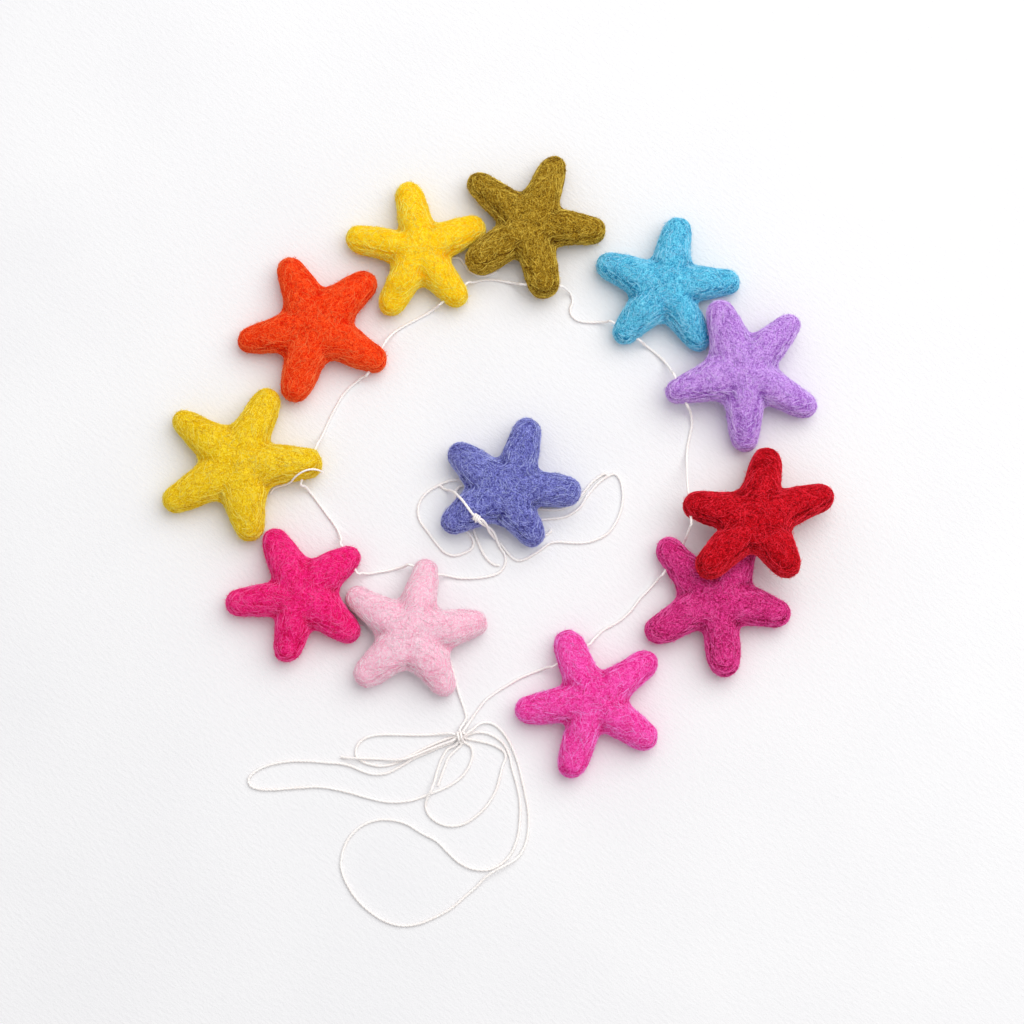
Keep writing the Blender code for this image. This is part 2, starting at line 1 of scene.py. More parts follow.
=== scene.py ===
"""The looks of the felt star garland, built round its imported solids.

Lengths are in millimetres and angles in degrees, unless a comment says otherwise, in the same
frame as the solids, and the routes of the string are those of the solids. Colours are display
values from 0 to 255, apart from those of the light. Most pairs are the span of a random value,
and those with a plural name the span of a random factor. FLAT_BELOW, PRESSED_ABOVE, FUZZ_ABOVE,
GROOVE_SHOWS, RIM_BEGINS and ARM_BEGINS say where an effect starts and where it is full.
"""

import itertools
import math

import bmesh
import bpy
import numpy as np
from mathutils import Matrix, Vector, noise
from mathutils.bvhtree import BVHTree


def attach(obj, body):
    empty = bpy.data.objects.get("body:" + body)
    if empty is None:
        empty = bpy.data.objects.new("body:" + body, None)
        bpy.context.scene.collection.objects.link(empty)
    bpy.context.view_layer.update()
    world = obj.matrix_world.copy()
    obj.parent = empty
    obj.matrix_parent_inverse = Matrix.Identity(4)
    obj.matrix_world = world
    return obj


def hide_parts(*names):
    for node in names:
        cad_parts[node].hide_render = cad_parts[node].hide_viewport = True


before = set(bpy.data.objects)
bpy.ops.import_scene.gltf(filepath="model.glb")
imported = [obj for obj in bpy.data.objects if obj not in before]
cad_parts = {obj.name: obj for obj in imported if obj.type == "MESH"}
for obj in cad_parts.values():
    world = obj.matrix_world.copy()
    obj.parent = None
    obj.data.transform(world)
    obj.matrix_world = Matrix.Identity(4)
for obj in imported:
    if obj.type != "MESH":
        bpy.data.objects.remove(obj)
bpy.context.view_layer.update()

MM = 0.001

# The camera of the photograph, the width of the picture at the surface, and the depths in metres
# that the camera sees
CAMERA_ELEVATION = 80
CAMERA_DISTANCE = 1200
CAMERA_LOOKS_AT = (5.33, -17.92, 0)
PICTURE_WIDTH = 378.88
SENSOR_WIDTH = 36
CLIP_START = 0.05
CLIP_END = 20

# The lamps: the place and the size of each in metres, its power in watts and its colour
LAMPS = {
    "key_light": ((0.6, 0.48, 1.24), 1.8, 17.1, (1, 0.985, 0.965)),
    "fill_light": ((-0.35, 0.95, 1.15), 1.4, 1.6, (0.96, 0.98, 1)),
}
LAMPS_AIM_AT = (0, -0.02, 0)
WORLD_COLOUR = (0.985, 0.985, 1, 1)
WORLD_STRENGTH = 0.61

# The values that nearly all of a noise lies between
NOISE_SPAN = (0.3, 0.7)

# The paper below the garland: its size in metres, its shades and where they lie on its pattern,
# and the depth in metres and the strength of its bumps
FLOOR_SIZE = 12
PAPER_SHADES = ((234, 234, 236), (241, 241, 242))
PAPER_SHADES_AT = (0.3, 0.7)
PAPER_ROUGHNESS = (0.85, 0.98)
PAPER_SHINE = 0.15
PAPER_BUMP = (0.0005, 0.6)
PAPER_STREAKS = (330, 850, 850)
PAPER_STREAKS_HEADING = 40
PAPER_GRAIN = 1500
PAPER_CLOUDS = 14

# The string, which is a little fuller than its solids, and the diameters of its special parts
STRING_DIAMETER = 1.1
THREAD_DIAMETER = 0.78
SMALL_KNOT_DIAMETER = 0.95
CURL_DIAMETER = 0.8
STRING_FULLNESS = 1.02
ON_FLOOR = 0.65
CURVE_SAMPLES = 24
STRING_STEP = 0.45
STRING_SEEDS = itertools.count(100)

# The waisted section of its two plies, with painted shade that darkens the grooves between
# the plies and lightens their tops, the length of one turn, and its slow waves of swelling
PLY_PROFILE = (1.0, 0.95, 0.8, 0.8, 0.95, 1.0, 0.95, 0.8, 0.8, 0.95)
PLY_TURN = 3.0
PLY_SWELL = 0.07
PLY_SWELL_WAVES = (0.9, 0.37)
PLY_MIDDLE = 0.9
PLY_PAINTED_SHADE = 5
TIP_SHARE = 0.2

# How a hair of the string or a star sways, bends over and tapers, and directions near enough
# upright that no hair and no string runs along them
HAIR_SWAY = 0.45
HAIR_BEND = 0.45
HAIR_LEAN = 1.6
HAIR_TAPER = 0.8
HAIR_UP = (0.1, 0.2, 1.0)
STRING_UP = (0.02, 0.03, 1.0)

# The short fibres that stand off the string, and those that splay from a cut end
FLUFF_PER_MM = 0.22
FLUFF_LIFT = (0, 0, 0.5)
FLUFF_REACH = (0.35, 1.0)
FLUFF_LEAN = (0.5, 1.2)
FLUFF_RADIUS = (0.025, 0.04)
FLUFF_ROOT = 0.38
FLUFF_SEED = 50
FRAY_FIBRES = 9
FRAY_RADIUS = 0.07
FRAY_REACH = 1.5
FRAY_REACHES = (0.6, 1.0)
FRAY_SPREAD = 0.45
FRAY_BACK = 0.4
FRAY_SCATTER = 0.12
FRAY_LEAN = 0.35
SMALL_KNOT_FRAY_REACH = 2.6
FRAY_SEED = 90

# The cotton, with a faint painted glow, an emission for the light that scatters through it
STRING_SHADES = ((244, 234, 229), (255, 250, 247), (255, 254, 252))
STRING_SHADES_AT = (0.2, 0.5, 0.8)
STRING_PAINTED_GLOW = 0.06
COTTON_ROUGHNESS = (0.7, 0.9)
COTTON_SHINE = 0.2
COTTON_BUMP = (0.0001, 0.5)

# The stretches of the one string that runs from the bow through eleven stars, in order
RING_STRETCHES = (
    "string_bow_to_fuchsia", "string_fuchsia_to_dark_pink", "string_dark_pink_to_red",
    "string_red_to_lavender", "string_lavender_to_light_blue", "string_light_blue_to_olive",
    "string_olive_to_yellow", "string_yellow_to_orange", "string_orange_to_mustard",
    "string_mustard_to_hot_pink", "string_hot_pink_to_light_pink", "string_light_pink_to_blue",
)
GREAT_LOOP = ("string_bow_great_loop_out", "string_bow_great_loop_back")

# The turns of string about each knot: the middle, the heading of the axis, the radius of the
# turns, the distance between turns and how many there are
WRAPS = {
    "knot_bow": (-13.5, -101.5, 2.05, 4, 1.5, 1.15, 2.4),
    "knot_on_blue_star": (-7.7, -22.6, 14.5, -35, 1.0, 0.85, 2.6),
}
WRAP_STEPS = 10

# Where the lengths of string end inside the two knots, and where two of them run into another
BOW_LEFT = (-14.4, -101.4, 1.8)
BOW_RIGHT = (-12.6, -101.6, 1.8)
BOW_TOP = (-13.3, -100.9, 2.1)
BOW_LOW = (-13.6, -102.2, 1.6)
SMALL_KNOT_MIDDLE = (-7.8, -22.5, 14.5)
OVER_ARM_END = (-21.2, -8.1, 0.8)
BESIDE_RIGHT_LOOP = (40.9, -4.2, 0.8)

# The small curl of string below the bow's knot
KNOT_CURL = (
    (-14.0, -102.5, 1.6), (-13.8, -103.5, 1.1), (-13.1, -104.1, 0.6), (-12.3, -103.7, 0.6),
    (-11.5, -103.9, 0.5),
)

# The two strands below the small knot, which wind about each other: how many points of each
# route do, the steps between points, their distance from the middle line, and the turns
PAIR_POINTS = 7
PAIR_STEPS = 4
PAIR_OFFSET = 0.56
PAIR_TURNS = 1

# Each star: its deep, usual and light colour, how much its fibres are combed along the arms,
# and the seed of its random draws
STARS = {
    "orange": ((220, 16, 1), (255, 73, 10), (255, 136, 80), 0.35, 1),
    "yellow": ((252, 180, 3), (255, 220, 9), (255, 242, 118), 0.45, 2),
    "olive": ((80, 47, 3), (170, 131, 26), (238, 209, 92), 0.7, 3),
    "light_blue": ((28, 124, 176), (100, 212, 243), (172, 231, 254), 0.9, 4),
    "lavender": ((134, 70, 175), (213, 161, 244), (233, 208, 254), 0.8, 5),
    "red": ((112, 0, 3), (209, 0, 20), (253, 62, 84), 0.4, 6),
    "dark_pink": ((138, 3, 51), (233, 50, 142), (255, 120, 196), 0.6, 7),
    "mustard": ((216, 161, 2), (251, 215, 18), (252, 238, 116), 0.6, 8),
    "hot_pink": ((206, 1, 66), (255, 28, 135), (255, 112, 180), 0.4, 9),
    "light_pink": ((250, 166, 196), (251, 211, 226), (252, 236, 242), 0.5, 10),
    "fuchsia": ((217, 12, 117), (255, 74, 181), (255, 160, 236), 0.5, 11),
    "periwinkle": ((43, 41, 115), (124, 128, 211), (193, 201, 246), 0.7, 12),
}

# The remeshed body of a star, and the plug that stops up its needle hole
VOXEL = 0.78
SMOOTHING = 22
RESTORING = 55
SWELL = 0.1
PLUG_RADIUS = 1.05
PLUG_BACK = 2.6
PLUG_SIDES = 16

# What is pressed into it: lumps as (size, height), creases and valleys that run in from the
# notches, and grooves along the rim as (level, width, depth), which wander in waves
LUMPS = ((9.0, 0.45), (4.2, 0.2), (1.9, 0.05))
LUMP_SEED = 3
NOISE_SHIFT = (13.7, 5.1, 7.9)
FLAT_BELOW = (-0.75, -0.2)
PRESSED_ABOVE = (-0.1, 0.5)
OUTLINE_BINS = 90
NOTCH_BINS = 6
CREASE_DEPTH = 0.9
CREASE_DEPTHS = (0.6, 1.15)
CREASE_WIDTH = 0.8
CREASE_MOUTH = 0.8
CREASE_WIDENING = 1.3
CREASE_FADE = 1.1
CREASE_REACH = 0.6
CREASE_REACHES = (0.75, 1.1)
CREASE_START = 1.04
CREASE_BEND = 32
VALLEY_DEPTH = 0.75
VALLEY_WIDTH = 2.6
VALLEY_FADE = 0.6
GROOVES = ((0.86, 0.045, 0.18), (0.68, 0.05, 0.4), (0.42, 0.06, 0.36))
GROOVE_WAVES = 5.0
GROOVE_WANDER = 0.07
WANDER_SEED = 40
GROOVE_PATCHES = 11.0
GROOVE_SHOWS = (-0.12, 0.22)
PATCH_SEED = 20
# The tone of the body, and the painted shade that colours the creases and the grooves darker
BODY_TONE = -0.14
CREASE_PAINTED_SHADE = -0.4
GROOVE_PAINTED_SHADE = -1.6
BODY_ABOVE_FLOOR = 0.03

# The fibres that lie on a star: how they turn, are combed by the rim and the arms, stand off the
# felt and sink in at both ends, and how few there are on the underside
FIBRES = 1880
FIBRE_POINTS = 5
FIBRE_STEP = 1.25
FIBRE_STEPS = (0.55, 1.3)
FIBRE_TURN = 0.42
FIBRE_PULL = 1.6
FIBRE_RADIUS = (0.065, 0.115)
FIBRE_TAPER = (0, 0.9, 1, 0.9, 0)
FIBRE_RISE = (-0.02, 0.14)
FIBRE_ENDS_RISE = -0.12
FIBRE_TONE_POWER = 1.6
FIBRE_TONE_SPAN = 1.15
FIBRE_TONE_LEAST = -0.28
LIGHT_FIBRES_SWELL = 0.25
RIM_BEGINS = (0.2, 0.6)
ARM_BEGINS = (0.3, 0.6)
UNDERSIDE = -0.35
UNDERSIDE_SHARE = 0.15

# The fine hairs that stand off a star, denser on its flanks and painted lighter than the felt
FUZZ = 3600
FUZZ_LENGTH = (0.5, 1.9)
FUZZ_RADIUS = 0.058
FUZZ_RADII = (0.7, 1.25)
FUZZ_OUT = (0.2, 0.95)
FUZZ_PAINTED_LIGHT_TONE = (0.3, 1.4)
FUZZ_ROOT = 0.05
FUZZ_ABOVE = (-0.6, 0.1)
FLANK = 0.6
FLANK_SHARE = 2.2
HAIR_SLOPE = 0.4
HAIR_ABOVE_FLOOR = 0.06

# The felt's material, and where its three colours lie on its pattern
FELT_COLOURS_AT = (0.2, 0.5, 0.86)
FELT_ROUGHNESS = (0.82, 0.97)
FELT_SHINE = 0.1
FELT_BUMP = (0.0003, 0.7)

# The two mouths of the needle hole through an arm of each threaded star, just off the felt
HOLES = {
    "fuchsia": ((20.2, -76.1, 4.7), (34, -67.6, 4.7)),
    "dark_pink": ((60.6, -42.2, 4.7), (68.6, -29.9, 4.7)),
    "red": ((70.8, -24.7, 14.3), (70, -11.6, 10.3)),
    "lavender": ((70.4, 20.2, 7.6), (65.2, 32.3, 9.2)),
    "light_blue": ((53.3, 45.8, 4.7), (41.9, 53.5, 4.7)),
    "olive": ((23.5, 66.7, 5.5), (8.8, 67.3, 5.8)),
    "yellow": ((-10.9, 68.3, 4.7), (-21.5, 59.9, 4.7)),
    "orange": ((-41.7, 45.6, 4.7), (-48.6, 32.9, 4.7)),
    "mustard": ((-66.4, 7.3, 4.7), (-72.6, -8.4, 4.7)),
    "hot_pink": ((-57.8, -30.4, 4.7), (-51.3, -41.7, 4.7)),
    "light_pink": ((-32.8, -38.4, 4.7), (-21.5, -42.1, 4.7)),
}

# The route of each length of string, from end to end: points on the floor as (x, y), raised
# points as (x, y, z), and (star, mouth) where the string enters or leaves a needle hole
ROUTES = {
    "string_bow_to_fuchsia": [
        (-11.9, -98.7, 1.8), (-9.9, -95.6, 1), (-7.5, -92.1), (-4.6, -88.3), (-0.8, -85.3),
        (4.5, -82), (8.4, -79.8), (13.4, -77.7), (16, -76.8, 1.1), (18.3, -76.2, 2.7),
        ("fuchsia", 0),
    ],
    "string_fuchsia_to_dark_pink": [
        ("fuchsia", 1), (34.8, -66.3, 2.7), (36.4, -64.5, 1.1), (38.8, -62.2), (42.4, -60.2),
        (45, -58.6), (48.7, -55.3), (52.4, -50.5), (55.8, -47), (57.8, -44.8, 1.1),
        (59.5, -43, 2.7), ("dark_pink", 0),
    ],
    "string_dark_pink_to_red": [
        ("dark_pink", 1), (69.2, -28.9, 7.2), (70.1, -26.5, 11.6), ("red", 0),
    ],
    "string_red_to_lavender": [
        ("red", 1), (69.9, -9.3, 9.2), (69.9, -5.3, 6), (70, -1.4, 3.2), (70.1, 2.5, 1.4),
        (70.5, 6.8), (71.4, 11), (72.1, 14.5, 0.9), (72, 17.4, 1.7), (71.4, 19.7, 3.6),
        ("lavender", 0),
    ],
    "string_lavender_to_light_blue": [
        ("lavender", 1), (64.7, 34.1, 5.2), (63.7, 36.4, 3), (62.3, 38.7, 1.4), (60.3, 40.8, 0.9),
        (58.1, 42.8), (56.1, 44.3, 1), (54.2, 45.4, 2.6), ("light_blue", 0),
    ],
    "string_light_blue_to_olive": [
        ("light_blue", 1), (40.6, 53.6, 2.7), (38.2, 53.9, 1.1), (34.8, 53.9), (31.5, 54.2),
        (29.1, 55.1), (27.5, 56.9), (27.2, 59.2), (28, 61.5), (27.7, 63.8, 0.8),
        (26.8, 65.3, 1.7), (25.3, 66.2, 3.3), ("olive", 0),
    ],
    "string_olive_to_yellow": [
        ("olive", 1), (7.8, 68.1, 3.6), (5.5, 68.8, 1.7), (3.1, 69.4, 1), (-0.3, 70.1),
        (-4.8, 70.2), (-7.6, 69.6, 1.1), (-9.7, 68.8, 2.6), ("yellow", 0),
    ],
    "string_yellow_to_orange": [
        ("yellow", 1), (-22.6, 59.5, 2.7), (-24.6, 58.3, 1.1), (-27.2, 56.7), (-32, 54.1),
        (-36.1, 51.8), (-38.5, 50.1, 1.1), (-40.4, 47.8, 2.7), ("orange", 0),
    ],
    "string_orange_to_mustard": [
        ("orange", 1), (-50, 32.8, 2.7), (-52.2, 31.3, 1.1), (-55, 29), (-57.6, 26),
        (-60.1, 21.6), (-62.5, 16.7), (-64, 13.3), (-65, 10.9, 1.2), (-65.8, 8.7, 2.8),
        ("mustard", 0),
    ],
    "string_mustard_to_hot_pink": [
        ("mustard", 1), (-71.1, -8.8, 2.8), (-69.6, -10.4, 1.2), (-67.8, -12.6), (-65.7, -15.4),
        (-63.2, -18.8), (-60.8, -22), (-59.1, -24.7, 0.8), (-58.2, -26.9, 1.5),
        (-57.6, -29.1, 2.9), ("hot_pink", 0),
    ],
    "string_hot_pink_to_light_pink": [
        ("hot_pink", 1), (-49.9, -41.2, 2.7), (-47.5, -41.2, 1.1), (-44.4, -40.6), (-40.4, -40),
        (-37.1, -39.2, 0.9), (-34.4, -38.8, 2.4), ("light_pink", 0),
    ],
    "string_light_pink_to_blue": [
        ("light_pink", 1), (-20.4, -41.8, 2.7), (-18.1, -42, 1.1), (-14.2, -42.7), (-8.7, -42.8),
        (-3.3, -42.1), (0.4, -40.8), (2.2, -38.8), (3, -36.6), (2.8, -34.3), (1.4, -32.3),
        (-0.1, -30.2, 0.8), (-1.5, -28.3, 2), (-2.7, -26.7, 4.2), (-3.9, -25.8, 7.4),
        (-5.1, -25.3, 10.8), (-6.4, -24.3, 13.7),
    ],
    "string_blue_right_loop": [
        (-5.6, -23, 13.8), (-4, -23.9, 10.8), (-2.7, -25, 7.4), (-1.4, -25.9, 4.2),
        (-0.1, -27.6, 2), (1.1, -29.4, 0.8), (2.7, -31.5), (4.1, -33.7), (5.8, -35.4),
        (7.9, -36.2), (10.5, -35.5), (13.4, -33.8), (16.6, -31.6), (19.4, -29.7), (22.3, -29.2),
        (27, -29.5), (32.1, -29.5), (36.6, -28.3), (40.6, -26.1), (43.4, -22.5), (45.2, -18.6),
        (46.3, -13.9), (46.1, -8.8), (45, -5.2), (43.3, -3.7), (41.3, -4.3), (38.1, -6.4),
        (35.5, -9), (33, -12.2), (30.4, -16.2), (27, -18.8), (23.8, -20.1), (19.4, -20.6),
        (15.4, -21.1), (12.6, -22.4), (11.6, -24.6), (12.8, -26.7), (15.4, -27.5), (17.9, -26.6),
        (19.8, -25.1),
    ],
    "string_blue_left_loop": [
        (39.6, -3.7), (37.1, -5.1), (34.7, -7.1), (32.3, -10), (29.9, -13.1), (27, -15.5),
        (23.3, -16.9), (19.9, -17.1), (15.5, -16.9), (11, -16.2), (6, -14.9), (0.9, -12.6),
        (-3.9, -10), (-8.4, -7.7), (-13.3, -6.1), (-17.8, -6.4), (-22.1, -8.2), (-25.8, -10.5),
        (-28.3, -13.4), (-29.4, -17.4), (-28.6, -21.4), (-25.7, -25.5), (-22.4, -30),
        (-19.4, -33.2), (-16.3, -34.3), (-12.6, -33.5), (-9.8, -31.9), (-8.8, -29.7),
        (-9.4, -27.6), (-11.1, -25.5), (-13.3, -22.5), (-14.9, -18.8), (-15.5, -14.7),
        (-15.5, -11.3), (-14.7, -9.2), (-13, -8.3), (-11.1, -8.7), (-9.1, -10.1), (-7.6, -12.8),
        (-7.2, -16.2), (-7.9, -19.6), (-8.9, -22.7), (-8.5, -25.8), (-7.2, -29.1), (-5.6, -32.9),
        (-3.5, -36), (-1.3, -37.7), (0.5, -38),
    ],
    "string_over_blue_arm": [
        (-9.4, -20.8, 14.6), (-10.9, -18.8, 15.1), (-12.7, -16.2, 14.2), (-14.7, -13.6, 11.2),
        (-16.2, -11.6, 7.2), (-17.5, -10.4, 3.4), (-18.8, -9.8, 1.1), (-20.3, -9),
    ],
    "string_light_pink_to_bow": [
        (-19.3, -70), (-17.6, -73.2), (-16.4, -76.7), (-15.4, -80.5), (-14.4, -84.5),
        (-13.1, -88.3), (-11.9, -91.8), (-11.4, -94.4), (-12.2, -96.4, 1), (-13.7, -98.8, 1.8),
    ],
    "string_yellow_side_strand": [
        (-17, 78.5), (-15.1, 78.8), (-13.4, 77.7), (-12.1, 75.6), (-10.3, 73.5), (-7.9, 72.1),
        (-5.3, 71.8), (-2.7, 72.3), (-0.5, 73.4),
    ],
    "string_bow_left_loop": [
        (-16.4, -100.4, 2), (-18.8, -100.3, 1.5), (-21.7, -100.5, 0.9), (-25.4, -100.7),
        (-31.7, -100.8), (-38.2, -100.6), (-43, -100.7), (-47.1, -101.4), (-50, -103.1),
        (-51.6, -105.9), (-51.4, -108.5), (-49.4, -110.4), (-46.5, -111.5), (-42.6, -112.1),
        (-38.4, -111.5), (-33.2, -109), (-27.9, -106.3), (-22.1, -103.6), (-19.1, -102.4),
        (-16.5, -101.6),
    ],
    "string_bow_long_loop": [
        (-16.4, -103.3), (-19.1, -104.5), (-22.1, -105.7), (-26.4, -107.6), (-30.9, -109.6),
        (-36.3, -112.8), (-40.6, -114.8), (-45.4, -115), (-49.4, -113.9), (-53, -112.3),
        (-56.7, -111.3), (-61.8, -110.9), (-69.4, -110.3), (-76.9, -110.5), (-83.7, -111.9),
        (-88.4, -114.2), (-90.7, -116.9), (-89.9, -119.3), (-87, -120.5), (-81.4, -120.7),
        (-73, -120.1), (-64, -119.8), (-54.9, -121.5), (-47.4, -123.6), (-39.8, -125.2),
        (-31.6, -124.7), (-24.1, -122.1), (-17.3, -119.2), (-12.5, -115.5), (-9.8, -111),
        (-9, -107.4), (-9.7, -105.1), (-11.3, -103.9),
    ],
    "string_bow_tail_upper": [
        (-16.3, -102.9, 2.3), (-20.3, -104.4, 2.1), (-24.6, -106.1, 2.2), (-28.9, -107.9, 2.2),
        (-32.6, -109.3, 2.2), (-35.5, -109.9, 2.2), (-38.8, -109.9, 1.4), (-42.8, -109.6),
        (-47.2, -109.4, 1.1), (-50.8, -109.4, 2.1), (-53.9, -109.3, 1.4), (-57.1, -108.8),
    ],
    "string_bow_right_loop": [
        (-10.7, -102.2), (-6.7, -103), (-2.3, -104.1), (0.8, -105.6), (2.6, -107.2),
        (3, -109.2), (2, -111.9), (1, -115.8), (-0.6, -121.2), (-3.8, -126.5),
        (-7.5, -130.2), (-12, -133.1), (-16.5, -134), (-21, -133), (-24.5, -130.4),
        (-26.1, -126.9), (-25.5, -123.9, 1.5), (-24.1, -121.2, 2.6), (-22.9, -117.8, 1.7),
        (-21.7, -113.2), (-20.1, -109), (-18, -105.9), (-15.3, -104.6, 1),
    ],
    "string_bow_tail_lower": [
        (-13.2, -104.2), (-15.1, -106.2), (-17.7, -108.9), (-19.3, -112.7), (-20.8, -116.9),
        (-21.6, -119.2),
    ],
    "string_bow_great_loop_out": [
        (-10.7, -100.1, 2.7), (-8.7, -98.7, 2.3), (-7.1, -97.1, 1.5), (-4.9, -96.2, 0.9),
        (-1.6, -96.7), (1.5, -99.2), (4.2, -103), (6.2, -107.2), (7.7, -111.7), (9, -117),
        (10.3, -123.1), (11.3, -129.1), (11.3, -135.1), (10.3, -140.3), (8, -144.7, 0.8),
        (5.1, -147.1, 1.5), (1.9, -148.8, 2), (-1.4, -150.6, 2), (-4.5, -152.8, 1.6),
        (-7.9, -156.2, 0.9), (-11.2, -159), (-16.4, -163.5), (-23.1, -167.2), (-29, -169.4),
        (-35.1, -169.9), (-41, -168.1), (-47, -164.2), (-52, -159), (-55.4, -153),
        (-56.5, -149.6),
    ],
    "string_bow_great_loop_back": [
        (-56.6, -149.2), (-56.7, -147), (-55.8, -142.2), (-53.2, -137.3), (-48.8, -133.6),
        (-43.6, -131.8), (-38.3, -131.8), (-33, -133.2), (-27.7, -136.4), (-22.1, -139.4),
        (-17.9, -143.5),
        (-13.8, -147.2), (-8.9, -149.5), (-2.9, -149.7), (1.7, -147.4), (5.3, -143.4),
        (7.5, -137.3), (8.3, -129.9), (8.1, -123.8), (6.8, -117.8), (5.3, -112.7), (4.5, -108.5),
        (2.8, -104.8), (0, -102), (-3.8, -100.1), (-7.5, -99.8), (-10.6, -100.7),
    ],
    "string_loose_thread": [
        (-84, -11, 1.6), (-82.8, -9.6, 2.4), (-80.8, -8.9, 3.2), (-78.5, -8.5, 4.6),
        (-76.3, -8, 6.8), (-74.7, -6.8, 9.4), (-72.7, -5.5, 11), (-70.5, -4.5, 11.6),
        (-68.3, -4, 11.4), (-66.2, -4, 10.2), (-64.3, -4.4, 8),
    ],
}


def linear(colour):
    """A display colour as the shader's linear values, with full alpha."""
    shares = [value / 255 for value in colour]
    return (*[s / 12.92 if s <= 0.04045 else ((s + 0.055) / 1.055) ** 2.4 for s in shares], 1)


def smoothstep(low, high, value):
    share = np.clip((value - low) / (high - low), 0, 1)
    return share * share * (3 - 2 * share)


# Camera, light and floor


def add_object(name, data):
    made = bpy.data.objects.new(name, data)
    bpy.context.scene.collection.objects.link(made)
    return made


def add_aimed(name, data, place, target):
    """A camera or a lamp that looks from a place at a target."""
    made = add_object(name, data)
    made.location = place
    made.rotation_euler = (Vector(target) - Vector(place)).to_track_quat("-Z", "Y").to_euler()
    return made


def add_camera():
    data = bpy.data.cameras.new("camera")
    data.sensor_width = SENSOR_WIDTH
    data.lens = SENSOR_WIDTH * CAMERA_DISTANCE / PICTURE_WIDTH
    data.clip_start = CLIP_START
    data.clip_end = CLIP_END
    rise = math.radians(CAMERA_ELEVATION)
    target = Vector(CAMERA_LOOKS_AT) * MM
    back = Vector((0, -math.cos(rise), math.sin(rise)))
    place = target + back * CAMERA_DISTANCE * MM
    bpy.context.scene.camera = add_aimed("camera", data, place, target)


def add_light():
    for name, (place, size, power, colour) in LAMPS.items():
        data = bpy.data.lights.new(name, "AREA")
        data.shape = "DISK"
        data.size = size
        data.energy = power
        data.color = colour
        add_aimed(name, data, place, LAMPS_AIM_AT)
    world = bpy.data.worlds.new("world")
    world.use_nodes = True
    background = world.node_tree.nodes["Background"]
    background.inputs["Color"].default_value = WORLD_COLOUR
    background.inputs["Strength"].default_value = WORLD_STRENGTH
    bpy.context.scene.world = world
    bpy.context.scene.view_settings.view_transform = "Standard"


class Nodes:
    """A short way to build a material's node tree."""

    def __init__(self, name):
        self.material = bpy.data.materials.new(name)
        self.material.use_nodes = True
        self.tree = self.material.node_tree
        self.shader = self.tree.nodes["Principled BSDF"]

    def feed(self, socket, value):
        if isinstance(value, bpy.types.NodeSocket):
            self.tree.links.new(value, socket)
        else:
            socket.default_value = value

    def fill(self, node, inputs):
        for key, value in inputs.items():
            self.feed(node.inputs[key.replace("_", " ")], value)

    def add(self, kind, **inputs):
        node = self.tree.nodes.new(f"ShaderNode{kind}")
        self.fill(node, inputs)
        return node

    def math(self, operation, *values):
        node = self.add("Math")
        node.operation = operation
        for socket, value in zip(node.inputs, values):
            self.feed(socket, value)
        return node.outputs[0]

    def weighed(self, *terms):
        """The sum of values, each with its weight."""
        total = None
        for source, weight in terms:
            share = self.math("MULTIPLY", source, weight)
            total = share if total is None else self.math("ADD", total, share)
        return total

    def span(self, source, low, high, to_low, to_high):
        limits = {"From_Min": low, "From_Max": high, "To_Min": to_low, "To_Max": to_high}
        return self.add("MapRange", Value=source, **limits).outputs["Result"]

    def place(self, scale=1):
        place = self.add("TexCoord").outputs["Object"]
        return place if scale == 1 else self.stretched(place, (scale, scale, scale))

    def stretched(self, vector, scale, turn=(0, 0, 0)):
        return self.add("Mapping", Vector=vector, Scale=scale, Rotation=turn).outputs["Vector"]

    def noise(self, vector, scale, **more):
        return self.add("TexNoise", Vector=vector, Scale=scale, **more).outputs["Fac"]

    def strands(self, vector, scale, width):
        """Thin winding lines, where a noise crosses its middle value: 1 on a line and 0 off it."""
        field = self.noise(vector, scale, Detail=1.5, Roughness=0.55, Distortion=1.6)
        away = self.math("ABSOLUTE", self.math("SUBTRACT", field, 0.5))
        return self.span(away, 0.0, width, 1.0, 0.0)

    def attribute(self, name):
        node = self.add("Attribute")
        node.attribute_name = name
        return node.outputs["Fac"]

    def ramp(self, factor, positions, colours):
        node = self.add("ValToRGB", Fac=factor)
        elements = node.color_ramp.elements
        while len(elements) < len(colours):
            elements.new(0.5)
        for element, position, colour in zip(elements, positions, colours):
            element.position = position
            element.color = linear(colour)
        return node.outputs["Color"]

    def bump(self, height, distance, strength):
        inputs = {"Height": height, "Distance": distance, "Strength": strength}
        return self.add("Bump", **inputs).outputs["Normal"]

    def finish(self, **values):
        """The material, with these inputs of its shader."""
        self.fill(self.shader, values)
        return self.material


def add_floor():
    mesh = bpy.data.meshes.new("floor")
    half = FLOOR_SIZE / 2
    corners = [(-half, -half, 0), (half, -half, 0), (half, half, 0), (-half, half, 0)]
    mesh.from_pydata(corners, [], [(0, 1, 2, 3)])
    nodes = Nodes("paper")
    place = nodes.place()
    turned = nodes.stretched(place, (1, 1, 1), (0, 0, math.radians(PAPER_STREAKS_HEADING)))
    streaks = nodes.noise(nodes.stretched(turned, PAPER_STREAKS), 1, Detail=2.5, Roughness=0.6)
    grain = nodes.noise(place, PAPER_GRAIN, Roughness=0.6)
    clouds = nodes.noise(place, PAPER_CLOUDS)
    height = nodes.weighed((streaks, 0.7), (grain, 0.3))
    tone = nodes.weighed((height, 0.5), (clouds, 0.5))
    mesh.materials.append(nodes.finish(
        Base_Color=nodes.ramp(tone, PAPER_SHADES_AT, PAPER_SHADES),
        Roughness=nodes.span(grain, *NOISE_SPAN, *PAPER_ROUGHNESS),
        Specular_IOR_Level=PAPER_SHINE,
        Normal=nodes.bump(height, *PAPER_BUMP),
    ))
    add_object("floor", mesh)


# Meshes from arrays


